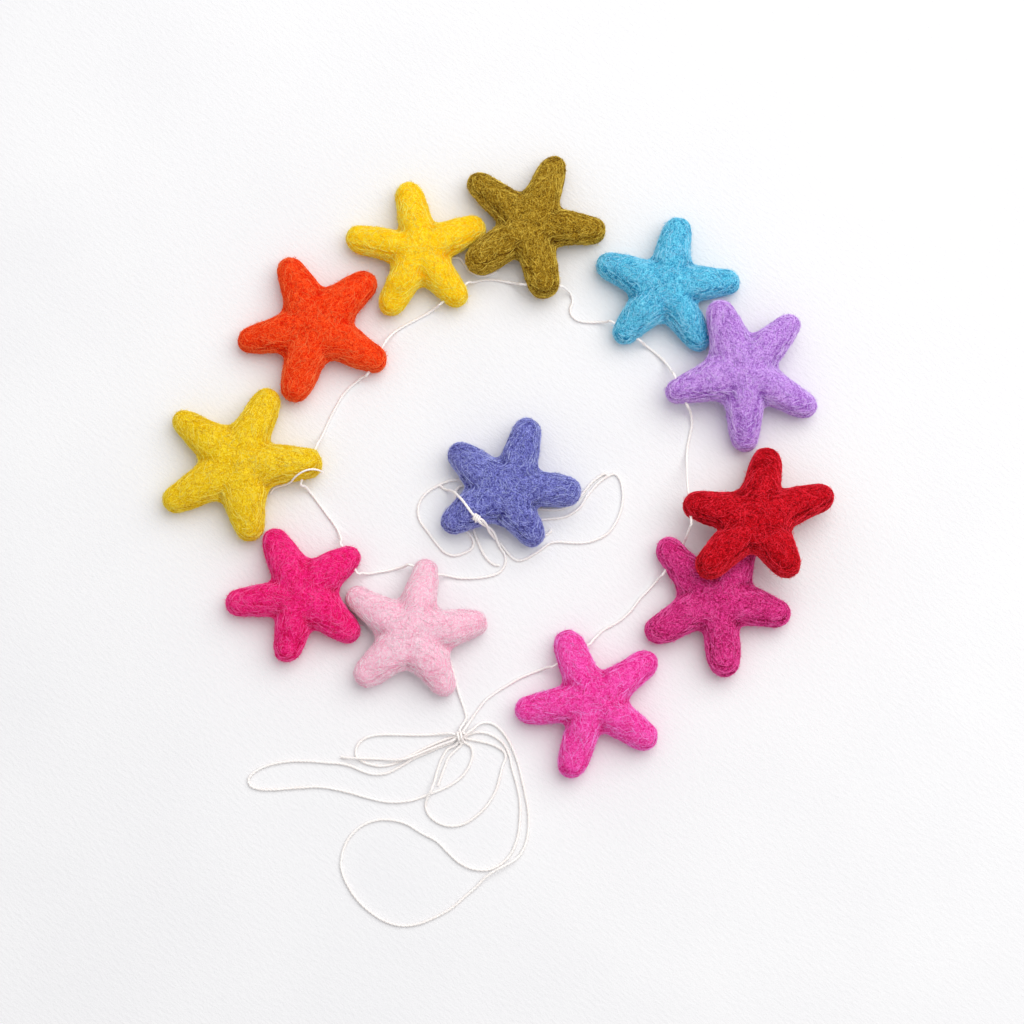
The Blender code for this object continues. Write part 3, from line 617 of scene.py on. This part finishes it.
def mesh_object(name, points, faces, material, smooth_faces, **values):
    """An object from points in metres, faces, and values at each point for its material. Only
    its first smooth_faces faces are shaded smooth."""
    mesh = bpy.data.meshes.new(name)
    mesh.from_pydata(points.tolist(), [], faces.tolist())
    for key, numbers in values.items():
        layer = mesh.attributes.new(key, "FLOAT", "POINT")
        layer.data.foreach_set("value", numbers.astype(np.float32))
    mesh.materials.append(material)
    mesh.polygons.foreach_set("use_smooth", np.arange(len(faces)) < smooth_faces)
    return add_object(name, mesh)


def joined(parts):
    """Several (points, triangles, tones) sets as one."""
    points, faces, tones = zip(*parts)
    starts = np.cumsum([0, *map(len, points[:-1])])
    faces = [each + start for each, start in zip(faces, starts)]
    return np.concatenate(points), np.concatenate(faces), np.concatenate(tones)


def unit(vectors):
    return vectors / np.maximum(np.linalg.norm(vectors, axis=-1, keepdims=True), 1e-12)


def across(vectors, axes):
    """The directions of vectors once their part along the unit axes is taken off."""
    return unit(vectors - (vectors * axes).sum(-1, keepdims=True) * axes)


def hair_tubes(centres, radii, normals, tones):
    """Closed three-sided tubes that taper to a point at both ends. centres and normals are
    (hair, point, xyz), radii is (hair, point) and tones is one value for each hair."""
    count, length, _ = centres.shape
    along = unit(np.gradient(centres, axis=1))
    over = across(normals, along)
    aside = np.cross(along, over)
    rings = []
    for corner in range(3):
        angle = math.tau * corner / 3
        spoke = math.cos(angle) * over + math.sin(angle) * aside
        rings.append(centres + radii[..., None] * spoke)
    inner = np.stack(rings, axis=2)[:, 1:-1].reshape(count, -1, 3)
    points = np.concatenate([centres[:, :1], inner, centres[:, -1:]], axis=1)
    each = points.shape[1]
    last = each - 1
    faces = []
    for corner in range(3):
        following = (corner + 1) % 3
        faces.append((0, 1 + corner, 1 + following))
        faces.append((last, last - 3 + following, last - 3 + corner))
        for ring in range(length - 3):
            low = 1 + 3 * ring
            faces.append((low + corner, low + 3 + corner, low + 3 + following))
            faces.append((low + corner, low + 3 + following, low + following))
    faces = np.array(faces)[:, ::-1]
    starts = (np.arange(count) * each)[:, None, None]
    return points.reshape(-1, 3), (faces[None] + starts).reshape(-1, 3), np.repeat(tones, each)


def curled_hairs(root, out, lean, reach, radius, rng, tones, count=3):
    """Hairs of a few points from their roots: out first, then bending over to lean."""
    share = np.linspace(0, 1, count)[None, :, None]
    sway = unit(rng.normal(size=root.shape)) * reach * HAIR_SWAY
    centres = (
        root[:, None] + (out * reach)[:, None] * (share - HAIR_BEND * share**2)
        + (lean * reach)[:, None] * share**HAIR_LEAN + sway[:, None] * share**2
    )
    centres[..., 2] = np.maximum(centres[..., 2], HAIR_ABOVE_FLOOR)
    taper = np.array([0, *np.linspace(1, HAIR_TAPER, count - 2), 0])
    up = np.broadcast_to(HAIR_UP, centres.shape)
    return hair_tubes(centres, radius[:, None] * taper, up, tones)


# String


def route_vector(point):
    if isinstance(point[0], str):
        return Vector(HOLES[point[0]][point[1]])
    return Vector((point[0], point[1], point[2] if len(point) == 3 else ON_FLOOR))


def wound_pair():
    """The strands of the ring and of the right loop that wind about each other, knot end first."""
    first = [route_vector(point) for point in ROUTES[RING_STRETCHES[-1]][-PAIR_POINTS:][::-1]]
    second = [route_vector(point) for point in ROUTES["string_blue_right_loop"][:PAIR_POINTS]]
    steps = (PAIR_POINTS - 1) * PAIR_STEPS
    pair = [], []
    for step in range(steps + 1):
        index = min(step // PAIR_STEPS, PAIR_POINTS - 2)
        share = step / PAIR_STEPS - index
        here = first[index].lerp(first[index + 1], share)
        there = second[index].lerp(second[index + 1], share)
        middle, apart = (here + there) / 2, (here - there) / 2
        along = first[index + 1] - first[index] + second[index + 1] - second[index]
        along.normalize()
        apart = (apart - apart.dot(along) * along).normalized() * PAIR_OFFSET
        apart = Matrix.Rotation(math.tau * PAIR_TURNS * step / steps, 3, along) @ apart
        middle.z = max(middle.z, ON_FLOOR + abs(apart.z))
        pair[0].append(middle + apart)
        pair[1].append(middle - apart)
    return pair


def ring_points():
    """The whole string from the bow to the small knot, straight through each needle hole."""
    points = [Vector(BOW_TOP)]
    for name in RING_STRETCHES:
        route = ROUTES[name]
        points += [route_vector(point) for point in route]
        if route[-1][0] in HOLES:
            first, second = HOLES[route[-1][0]]
            points.append((Vector(first) + Vector(second)) / 2)
    return [*points[:-PAIR_POINTS], *wound_pair()[0][::-1], Vector(SMALL_KNOT_MIDDLE)]


def strand(node, start=None, end=None):
    """The route of one length of string, led on into a knot or another strand at either end."""
    points = [route_vector(point) for point in ROUTES[node]]
    if start:
        points.insert(0, Vector(start))
    if end:
        points.append(Vector(end))
    return points


def wrap_points(x, y, z, heading, radius, spacing, turns):
    """The path of a string wound about a level axis."""
    axis = Matrix.Rotation(math.radians(heading), 3, "Z") @ Vector((1, 0, 0))
    side = Vector((-axis.y, axis.x, 0))
    points = []
    steps = int(turns * WRAP_STEPS)
    for step in range(steps + 1):
        turn = math.tau * turns * step / steps - math.pi / 2
        along = axis * spacing * (turns * step / steps - turns / 2)
        rise = Vector((0, 0, radius * math.sin(turn)))
        points.append(Vector((x, y, z)) + along + side * radius * math.cos(turn) + rise)
    return points


def smooth_line(points):
    """Points in millimetres read closely from one smooth curve through a route."""
    knots = [points[0] * 2 - points[1], *points, points[-1] * 2 - points[-2]]
    line = [points[0]]
    for a, b, c, d in zip(knots, knots[1:], knots[2:], knots[3:]):
        ab, bc, cd = ((q - p).length ** 0.5 for p, q in ((a, b), (b, c), (c, d)))
        leave = ((b - a) / ab - (c - a) / (ab + bc) + (c - b) / bc) * bc
        arrive = ((c - b) / bc - (d - b) / (bc + cd) + (d - c) / cd) * bc
        for step in range(1, CURVE_SAMPLES + 1):
            t = step / CURVE_SAMPLES
            line.append(
                b * (2 * t**3 - 3 * t**2 + 1) + leave * (t**3 - 2 * t**2 + t)
                + c * (3 * t**2 - 2 * t**3) + arrive * (t**3 - t**2)
            )
    return np.array(line)


def travelled(line):
    """How far along a line each of its points is."""
    return np.concatenate([[0], np.cumsum(np.linalg.norm(np.diff(line, axis=0), axis=1))])


def evenly(line, step):
    """Points at even steps along a line."""
    known = travelled(line)
    at = np.linspace(0, known[-1], max(3, round(known[-1] / step) + 1))
    return np.stack([np.interp(at, known, line[:, axis]) for axis in range(3)], axis=1)


def carried_frames(line):
    """The direction of a line at each point, and two across it, carried on without twisting."""
    along = unit(np.gradient(line, axis=0))
    aside = np.empty_like(line)
    current = np.cross(along[0], STRING_UP)
    for index, direction in enumerate(along):
        current = current - current @ direction * direction
        current = current / np.linalg.norm(current)
        aside[index] = current
    return along, aside, np.cross(along, aside)


def string_tube(line, diameter, seed):
    """A two ply string along a line in millimetres: a closed tube whose waisted section turns."""
    rng = np.random.default_rng(seed)
    along, aside, over = carried_frames(line)
    sides = len(PLY_PROFILE)
    run = travelled(line)
    fast, slow = PLY_SWELL_WAVES
    waves = np.sin(run * fast + rng.uniform(0, 6)) * np.sin(run * slow)
    swell = 1 + PLY_SWELL * waves
    points, tones = [], []
    for side, reach in enumerate(PLY_PROFILE):
        angle = math.tau * side / sides + math.tau * run / PLY_TURN * STRING_DIAMETER / diameter
        spoke = np.cos(angle)[:, None] * aside + np.sin(angle)[:, None] * over
        points.append(line + spoke * (diameter / 2 * STRING_FULLNESS * reach * swell)[:, None])
        # Painted shade: the tone falls in the grooves between the plies and rises on their tops
        tones.append(np.full(len(line), (reach - PLY_MIDDLE) * PLY_PAINTED_SHADE))
    points = np.stack(points, axis=1).reshape(-1, 3)
    tones = np.stack(tones, axis=1).ravel()
    rings = np.arange(len(line) - 1) * sides
    last = (len(line) - 1) * sides
    start, end = last + sides, last + sides + 1
    faces = []
    for side in range(sides):
        following = (side + 1) % sides
        here, there = rings + side, rings + following
        faces.append(np.stack([here, there, there + sides], axis=1))
        faces.append(np.stack([here, there + sides, here + sides], axis=1))
        faces.append([[start, following, side]])
        faces.append([[end, last + side, last + following]])
    tip = diameter * TIP_SHARE
    ends = [line[0] - along[0] * tip, line[-1] + along[-1] * tip]
    return np.concatenate([points, ends]), np.concatenate(faces), np.concatenate([tones, [0, 0]])


def string_fluff(line, diameter, seed):
    """Short fibres that stand off a string."""
    rng = np.random.default_rng(seed)
    count = max(2, int(len(line) * STRING_STEP * FLUFF_PER_MM))
    picked = rng.integers(0, len(line), count)
    along = unit(np.gradient(line, axis=0))[picked]
    out = across(unit(rng.normal(size=(count, 3)) + FLUFF_LIFT), along)
    root = line[picked] + out * diameter * FLUFF_ROOT
    reach = rng.uniform(*FLUFF_REACH, (count, 1))
    lean = along * rng.choice([-1, 1], (count, 1)) * rng.uniform(*FLUFF_LEAN, (count, 1))
    radius = rng.uniform(*FLUFF_RADIUS, count)
    return curled_hairs(root, out, lean, reach, radius, rng, np.ones(count))


def frayed_end(tip, direction, seed, reach):
    """Fibres that splay from a cut end."""
    rng = np.random.default_rng(seed)
    direction = unit(direction)
    each = (FRAY_FIBRES, 3)
    out = unit(direction + rng.normal(0, FRAY_SPREAD, each))
    root = tip - direction * FRAY_BACK + rng.normal(0, FRAY_SCATTER, each)
    lean = rng.normal(0, FRAY_LEAN, each)
    lengths = rng.uniform(*FRAY_REACHES, (FRAY_FIBRES, 1)) * reach
    radius, tones = np.full(FRAY_FIBRES, FRAY_RADIUS), np.ones(FRAY_FIBRES)
    return curled_hairs(root, out, lean, lengths, radius, rng, tones, count=4)


def make_string(
    name, points, nodes, material, diameter=STRING_DIAMETER, frayed=(), fray=FRAY_REACH
):
    """One length of string as a piece of its own; it returns the piece and its centreline."""
    seed = next(STRING_SEEDS)
    line = evenly(smooth_line(points), STRING_STEP * diameter / STRING_DIAMETER)
    parts = [string_tube(line, diameter, seed), string_fluff(line, diameter, seed + FLUFF_SEED)]
    for end in frayed:
        tip, inner = (line[0], line[3]) if end == "start" else (line[-1], line[-4])
        parts.append(frayed_end(tip, tip - inner, seed + FRAY_SEED, fray))
    made_points, faces, tones = joined(parts)
    tube_faces = len(parts[0][1])
    piece = mesh_object(name, made_points * MM, faces, material, tube_faces, tone=tones)
    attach(piece, "root")
    if nodes:
        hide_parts(*nodes)
    return piece, line * MM


def add_strand(name, material, start=None, end=None, **look):
    """A piece that stands for the one solid of its name."""
    node = f"string_{name}"
    return make_string(name, strand(node, start, end), [node], material, **look)


def add_ring_string(cotton):
    ring = make_string("ring_string", ring_points(), RING_STRETCHES, cotton)
    side = add_strand("yellow_side_strand", cotton, frayed=("end",))
    thread = add_strand("loose_thread", cotton, diameter=THREAD_DIAMETER, frayed=("start", "end"))
    small_knot = make_string(
        "small_knot", wrap_points(*WRAPS["knot_on_blue_star"]), ["knot_on_blue_star"], cotton,
        SMALL_KNOT_DIAMETER, frayed=("start", "end"), fray=SMALL_KNOT_FRAY_REACH,
    )


def add_blue_loops(cotton):
    beyond_pair = strand("string_blue_right_loop")[PAIR_POINTS:]
    right = make_string(
        "blue_right_loop", [Vector(SMALL_KNOT_MIDDLE), *wound_pair()[1], *beyond_pair],
        ["string_blue_right_loop"], cotton, frayed=("end",),
    )
    over = add_strand("over_blue_arm", cotton, SMALL_KNOT_MIDDLE, OVER_ARM_END)
    left = add_strand("blue_left_loop", cotton, BESIDE_RIGHT_LOOP, frayed=("end",))


def add_bow(cotton):
    add_strand("light_pink_to_bow", cotton, end=BOW_TOP)
    bow_knot = make_string("bow_knot", wrap_points(*WRAPS["knot_bow"]), ["knot_bow"], cotton)
    points = [Vector(place) for place in KNOT_CURL]
    curl = make_string("bow_knot_curl", points, (), cotton, CURL_DIAMETER, frayed=("end",))
    left = add_strand("bow_left_loop", cotton, BOW_LEFT, BOW_LEFT)
    add_strand("bow_long_loop", cotton, BOW_LEFT, BOW_LOW)
    add_strand("bow_tail_upper", cotton, BOW_LEFT, frayed=("end",))
    lower = add_strand("bow_tail_lower", cotton, BOW_LOW, frayed=("end",))
    right = add_strand("bow_right_loop", cotton, BOW_RIGHT, BOW_LOW)
    points = [*strand(GREAT_LOOP[0], BOW_RIGHT), *strand(GREAT_LOOP[1], end=BOW_RIGHT)]
    make_string("bow_great_loop", points, GREAT_LOOP, cotton)


def cotton_material():
    nodes = Nodes("cotton")
    place = nodes.place(1 / MM)
    fine = nodes.noise(place, 2.6, Detail=3, Roughness=0.65, Distortion=0.4)
    broad = nodes.noise(place, 0.12)
    tone = nodes.weighed((fine, 0.5), (nodes.attribute("tone"), 0.22), (broad, 0.5))
    return nodes.finish(
        Base_Color=nodes.ramp(tone, STRING_SHADES_AT, STRING_SHADES),
        Roughness=nodes.span(fine, *NOISE_SPAN, *COTTON_ROUGHNESS),
        Specular_IOR_Level=COTTON_SHINE,
        # The string glows a little of itself: a painted glow
        Emission_Color=linear(STRING_SHADES[1]),
        Emission_Strength=STRING_PAINTED_GLOW,
        Normal=nodes.bump(fine, *COTTON_BUMP),
    )


# Felt stars


def felt_material(name):
    nodes = Nodes(f"felt_of_{name}")
    place = nodes.place(1 / MM)
    beside = nodes.stretched(place, (1, 1, 1), (0.7, 0.4, 1.1))
    slope = nodes.attribute("slope")
    fine = nodes.noise(place, 2.4, Detail=3, Roughness=0.75, Distortion=0.6)
    level = nodes.stretched(place, (0.38, 0.38, 2.6))
    layers = nodes.noise(level, 1, Detail=2.5, Roughness=0.6, Distortion=0.25)
    combed = nodes.math("MULTIPLY", nodes.math("SUBTRACT", layers, 0.5), slope)
    strands = nodes.strands(place, 1.15, 0.12)
    others = nodes.strands(beside, 0.95, 0.1)
    hollows = nodes.strands(beside, 0.75, 0.12)
    broad = nodes.noise(place, 0.1)
    height = nodes.weighed(
        (strands, 0.3), (hollows, -0.2), (others, 0.24), (fine, 0.6), (combed, 0.9)
    )
    # The colour follows the bump's height: the raised strands lighter and the hollows darker,
    # partly the wool's own mottling and partly painted shade in the hollows
    tone = nodes.weighed(
        # The slope term paints the steep sides and the hairs a little lighter: painted light on
        # the rims
        (height, 0.95), (broad, 0.12), (nodes.attribute("tone"), 0.6), (slope, 0.06)
    )
    tone = nodes.math("ADD", tone, 0.02)
    return nodes.finish(
        Base_Color=nodes.ramp(tone, FELT_COLOURS_AT, STARS[name][:3]),
        Roughness=nodes.span(fine, *NOISE_SPAN, *FELT_ROUGHNESS),
        Specular_IOR_Level=FELT_SHINE,
        Normal=nodes.bump(height, *FELT_BUMP),
    )


def remeshed_star(name):
    """The star's solid with its needle hole stopped up, as an even fine mesh in millimetres."""
    shape = bmesh.new()
    shape.from_mesh(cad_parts[f"star_{name}"].data)
    bmesh.ops.scale(shape, vec=(1 / MM,) * 3, verts=shape.verts)
    if name in HOLES:
        first, second = (Vector(mouth) for mouth in HOLES[name])
        turn = (second - first).to_track_quat("Z", "Y").to_matrix().to_4x4()
        bmesh.ops.create_cone(
            shape, cap_ends=True, segments=PLUG_SIDES, radius1=PLUG_RADIUS, radius2=PLUG_RADIUS,
            depth=(second - first).length - 2 * PLUG_BACK,
            matrix=Matrix.Translation((first + second) / 2) @ turn,
        )
    data = bpy.data.meshes.new("felt_base")
    shape.to_mesh(data)
    shape.free()
    base = add_object("felt_base", data)
    remesh = base.modifiers.new("remesh", "REMESH")
    remesh.mode = "VOXEL"
    remesh.voxel_size = VOXEL
    remesh.adaptivity = 0
    remeshed = base.evaluated_get(bpy.context.evaluated_depsgraph_get())
    made = bpy.data.meshes.new_from_object(remeshed)
    bpy.data.objects.remove(base)
    made.calc_loop_triangles()
    points = np.array([vertex.co for vertex in made.vertices])
    faces = np.array([triangle.vertices for triangle in made.loop_triangles])
    edges = np.array([edge.vertices for edge in made.edges])
    bpy.data.meshes.remove(made)
    return points, faces, edges


def neighbour_mean(values, edges, weights):
    count = len(values)
    total = np.zeros_like(values)
    for axis, column in enumerate(values.T):
        for here, there in (edges.T, edges.T[::-1]):
            total[:, axis] += np.bincount(here, column[there], count)
    return total / weights[:, None]


def rounded(points, edges):
    """Takes the facets off, and puts back the broad shape that plain smoothing shrinks."""
    weights = np.bincount(edges.ravel(), minlength=len(points)).astype(float)
    soft = points
    for _ in range(SMOOTHING):
        soft = (soft + neighbour_mean(soft, edges, weights)) / 2
    lost = points - soft
    for _ in range(RESTORING):
        lost = (lost + neighbour_mean(lost, edges, weights)) / 2
    return soft + lost


def face_spans(points, faces):
    """A vector square to each face, as long as twice its area."""
    corners = points[faces]
    return np.cross(corners[:, 1] - corners[:, 0], corners[:, 2] - corners[:, 0])


def point_normals(points, faces):
    spans = face_spans(points, faces)
    total = np.zeros_like(points)
    for corner in range(3):
        for axis in range(3):
            total[:, axis] += np.bincount(faces[:, corner], spans[:, axis], len(points))
    return unit(total)


def polar(heading):
    angle = math.radians(heading)
    return np.array([math.cos(angle), math.sin(angle)])


def noise_at(points, scale, seed):
    shift = Vector([seed * far for far in NOISE_SHIFT])
    return np.array([noise.noise(Vector(point) / scale + shift) for point in points])


def notches_of(points, middle):
    """The heading and the distance of each notch, and how far the star reaches."""
    flat = points[:, :2] - middle
    headings = np.degrees(np.arctan2(flat[:, 1], flat[:, 0])) % 360
    bins = (headings / 360 * OUTLINE_BINS).astype(int)
    reach = np.zeros(OUTLINE_BINS)
    np.maximum.at(reach, bins, np.hypot(flat[:, 0], flat[:, 1]))
    reach = (np.roll(reach, 1) + reach + np.roll(reach, -1)) / 3
    found = []
    for index in range(OUTLINE_BINS):
        window = np.arange(index - NOTCH_BINS, index + NOTCH_BINS + 1) % OUTLINE_BINS
        if reach[index] == reach[window].min():
            found.append(((index + 0.5) * 360 / OUTLINE_BINS, reach[index]))
    return found, reach.max()


def pressed_depths(points, normals, middle, notches, rng):
    """How deep the creases press, and the broad valleys, which all run in from the notches."""
    depth = np.zeros(len(points))
    valley = np.zeros(len(points))
    for heading, reach in notches:
        start = polar(heading) * reach * CREASE_START
        inner = polar(heading + rng.uniform(-CREASE_BEND, CREASE_BEND)) * reach
        run = inner * (1 - CREASE_REACH * rng.uniform(*CREASE_REACHES)) - start
        flat = points[:, :2] - middle - start
        share = np.clip((flat @ run) / (run @ run), 0, 1)
        away = np.linalg.norm(flat - share[:, None] * run, axis=1)
        width = CREASE_WIDTH * (CREASE_MOUTH + CREASE_WIDENING * share)
        most = rng.uniform(*CREASE_DEPTHS) * CREASE_DEPTH
        depth += most * (1 - share) ** CREASE_FADE * np.exp(-(away / width) ** 2)
        share = np.clip((flat @ -start) / (start @ start), 0, 1)
        away = np.linalg.norm(points[:, :2] - middle - start * (1 - share[:, None]), axis=1)
        most = VALLEY_DEPTH * (1 - share) ** VALLEY_FADE
        valley = np.maximum(valley, most * np.exp(-(away / VALLEY_WIDTH) ** 2))
    above = smoothstep(*PRESSED_ABOVE, normals[:, 2])
    return depth * above, valley * above


def groove_depths(points, normals, seed):
    """Shallow grooves that follow the rim, here and there, where layers of wool were wrapped."""
    depth = np.zeros(len(points))
    wander = noise_at(points, GROOVE_WAVES, seed + WANDER_SEED) * GROOVE_WANDER
    # The grooves press deeper, and their painted shade is darker, on the sides that face -y, away
    # from the lamps
    away_from_lamps = 0.55 + 0.45 * smoothstep(0.3, -0.5, normals[:, 1])
    for order, (level, width, most) in enumerate(GROOVES):
        patches = noise_at(points, GROOVE_PATCHES, seed + PATCH_SEED + order)
        shown = smoothstep(*GROOVE_SHOWS, patches)
        away = (normals[:, 2] + wander - level) / width
        depth += most * shown * away_from_lamps * np.exp(-away ** 2)
    return depth


def picked_faces(points, faces, face_normals, shares, count, rng):
    """The middles and the normals of faces picked by their areas and shares."""
    areas = np.linalg.norm(face_spans(points, faces), axis=1) * shares
    picked = rng.choice(len(faces), count, p=areas / areas.sum())
    return points[faces][picked].mean(axis=1), face_normals[picked]


def star_fibres(points, faces, face_normals, middle, reach, combed, rng):
    """Wool fibres that lie on the felt: round the rim and the tips, along the arms, and any way
    on the middle."""
    tree = BVHTree.FromPolygons(points.tolist(), faces.tolist())
    shares = np.where(face_normals[:, 2] < UNDERSIDE, UNDERSIDE_SHARE, 1)
    spot, normal = picked_faces(points, faces, face_normals, shares, FIBRES, rng)
    heading = unit(np.cross(normal, rng.normal(size=(FIBRES, 3))))
    turning = rng.normal(0, FIBRE_TURN, FIBRES)
    step = FIBRE_STEP * rng.uniform(*FIBRE_STEPS, FIBRES)[:, None]
    trail, over = [spot], [normal]
    for _ in range(FIBRE_POINTS - 1):
        slope = np.sqrt(np.clip(1 - normal[:, 2] ** 2, 0, 1))
        around = unit(np.cross((0, 0, 1), normal) + 1e-9)
        outward = np.zeros_like(spot)
        outward[:, :2] = spot[:, :2] - middle
        distance = np.linalg.norm(outward, axis=1)
        outward = across(outward, normal)
        by_rim = smoothstep(*RIM_BEGINS, slope) * (0.6 + 0.4 * combed)
        by_arm = combed * (1 - by_rim) * smoothstep(*ARM_BEGINS, distance / reach)
        pull = by_rim[:, None] * around * np.sign((around * heading).sum(1, keepdims=True))
        pull += by_arm[:, None] * outward * np.sign((outward * heading).sum(1, keepdims=True))
        heading = unit(heading + FIBRE_PULL * pull)
        bend = (turning * (1 - 0.8 * by_rim))[:, None]
        heading = unit(heading * np.cos(bend) + np.cross(normal, heading) * np.sin(bend))
        spot = spot + heading * step
        nearest = [tree.find_nearest(Vector(place)) for place in spot]
        spot = np.array([found[0] for found in nearest])
        normal = face_normals[[found[2] for found in nearest]]
        heading = across(heading, normal)
        trail.append(spot)
        over.append(normal)
    trail, over = np.stack(trail, axis=1), np.stack(over, axis=1)
    radius = rng.uniform(*FIBRE_RADIUS, FIBRES)
    rise = rng.uniform(*FIBRE_RISE, (FIBRES, 1)) * np.ones(FIBRE_POINTS)
    rise[:, [0, -1]] = FIBRE_ENDS_RISE
    trail = trail + over * rise[..., None]
    trail[..., 2] = np.maximum(trail[..., 2], FIBRE_RADIUS[1])
    tones = rng.uniform(0, 1, FIBRES) ** FIBRE_TONE_POWER * FIBRE_TONE_SPAN + FIBRE_TONE_LEAST
    radius = radius * (1 + LIGHT_FIBRES_SWELL * np.maximum(tones, 0))
    return hair_tubes(trail, radius[:, None] * np.array(FIBRE_TAPER), over, tones)


def star_fuzz(points, faces, face_normals, rng):
    """Fine hairs that stand off the felt."""
    upward = face_normals[:, 2]
    shares = smoothstep(*FUZZ_ABOVE, upward) * np.where(upward < FLANK, FLANK_SHARE, 1)
    spot, normal = picked_faces(points, faces, face_normals, shares, FUZZ, rng)
    root = spot - normal * FUZZ_ROOT
    lean = unit(np.cross(normal, rng.normal(size=(FUZZ, 3))))
    shortest, longest = FUZZ_LENGTH
    reach = rng.uniform(0, 1, (FUZZ, 1)) ** 2 * (longest - shortest) + shortest
    out = normal * rng.uniform(*FUZZ_OUT, (FUZZ, 1))
    # Painted light: the hairs take the lighter end of the felt's colours
    tones = rng.uniform(*FUZZ_PAINTED_LIGHT_TONE, FUZZ)
    radius = rng.uniform(*FUZZ_RADII, FUZZ) * FUZZ_RADIUS
    return curled_hairs(root, out, lean, reach, radius, rng, tones)


def add_star(name):
    *_, combed, seed = STARS[name]
    rng = np.random.default_rng(seed)
    points, faces, edges = remeshed_star(name)
    points = rounded(points, edges)
    normals = point_normals(points, faces)
    middle = points[:, :2].mean(axis=0)
    notches, reach = notches_of(points, middle)
    creases, valleys = pressed_depths(points, normals, middle, notches, rng)
    grooves = groove_depths(points, normals, seed)
    rise = np.full(len(points), SWELL)
    for order, (size, most) in enumerate(LUMPS):
        rise += most * noise_at(points, size, seed + LUMP_SEED * order)
    above = smoothstep(*FLAT_BELOW, normals[:, 2])
    points = points + normals * ((rise - creases - valleys - grooves) * above)[:, None]
    points[:, 2] = np.maximum(points[:, 2], BODY_ABOVE_FLOOR)
    normals = point_normals(points, faces)
    # Painted shade: the creases and the grooves are coloured darker, towards the star's deep
    # colour
    tones = BODY_TONE + CREASE_PAINTED_SHADE * creases / CREASE_DEPTH + GROOVE_PAINTED_SHADE * grooves
    face_normals = unit(normals[faces].mean(axis=1))
    fibres = star_fibres(points, faces, face_normals, middle, reach, combed, rng)
    fuzz = star_fuzz(points, faces, face_normals, rng)
    body = points, faces, np.clip(tones, -1, 1)
    made_points, made_faces, made_tones = joined([body, fibres, fuzz])
    slopes = np.full(len(made_points), HAIR_SLOPE)
    slopes[:len(points)] = 1 - smoothstep(0.25, 0.95, normals[:, 2])
    piece = mesh_object(
        f"felt_star_{name}", made_points * MM, made_faces, felt_material(name), len(faces),
        tone=made_tones, slope=slopes,
    )
    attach(piece, "root")
    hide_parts(f"star_{name}")


add_camera()
string_material = cotton_material()
add_ring_string(string_material)
add_blue_loops(string_material)
add_bow(string_material)
add_light()
add_floor()
for star_name in STARS:
    add_star(star_name)
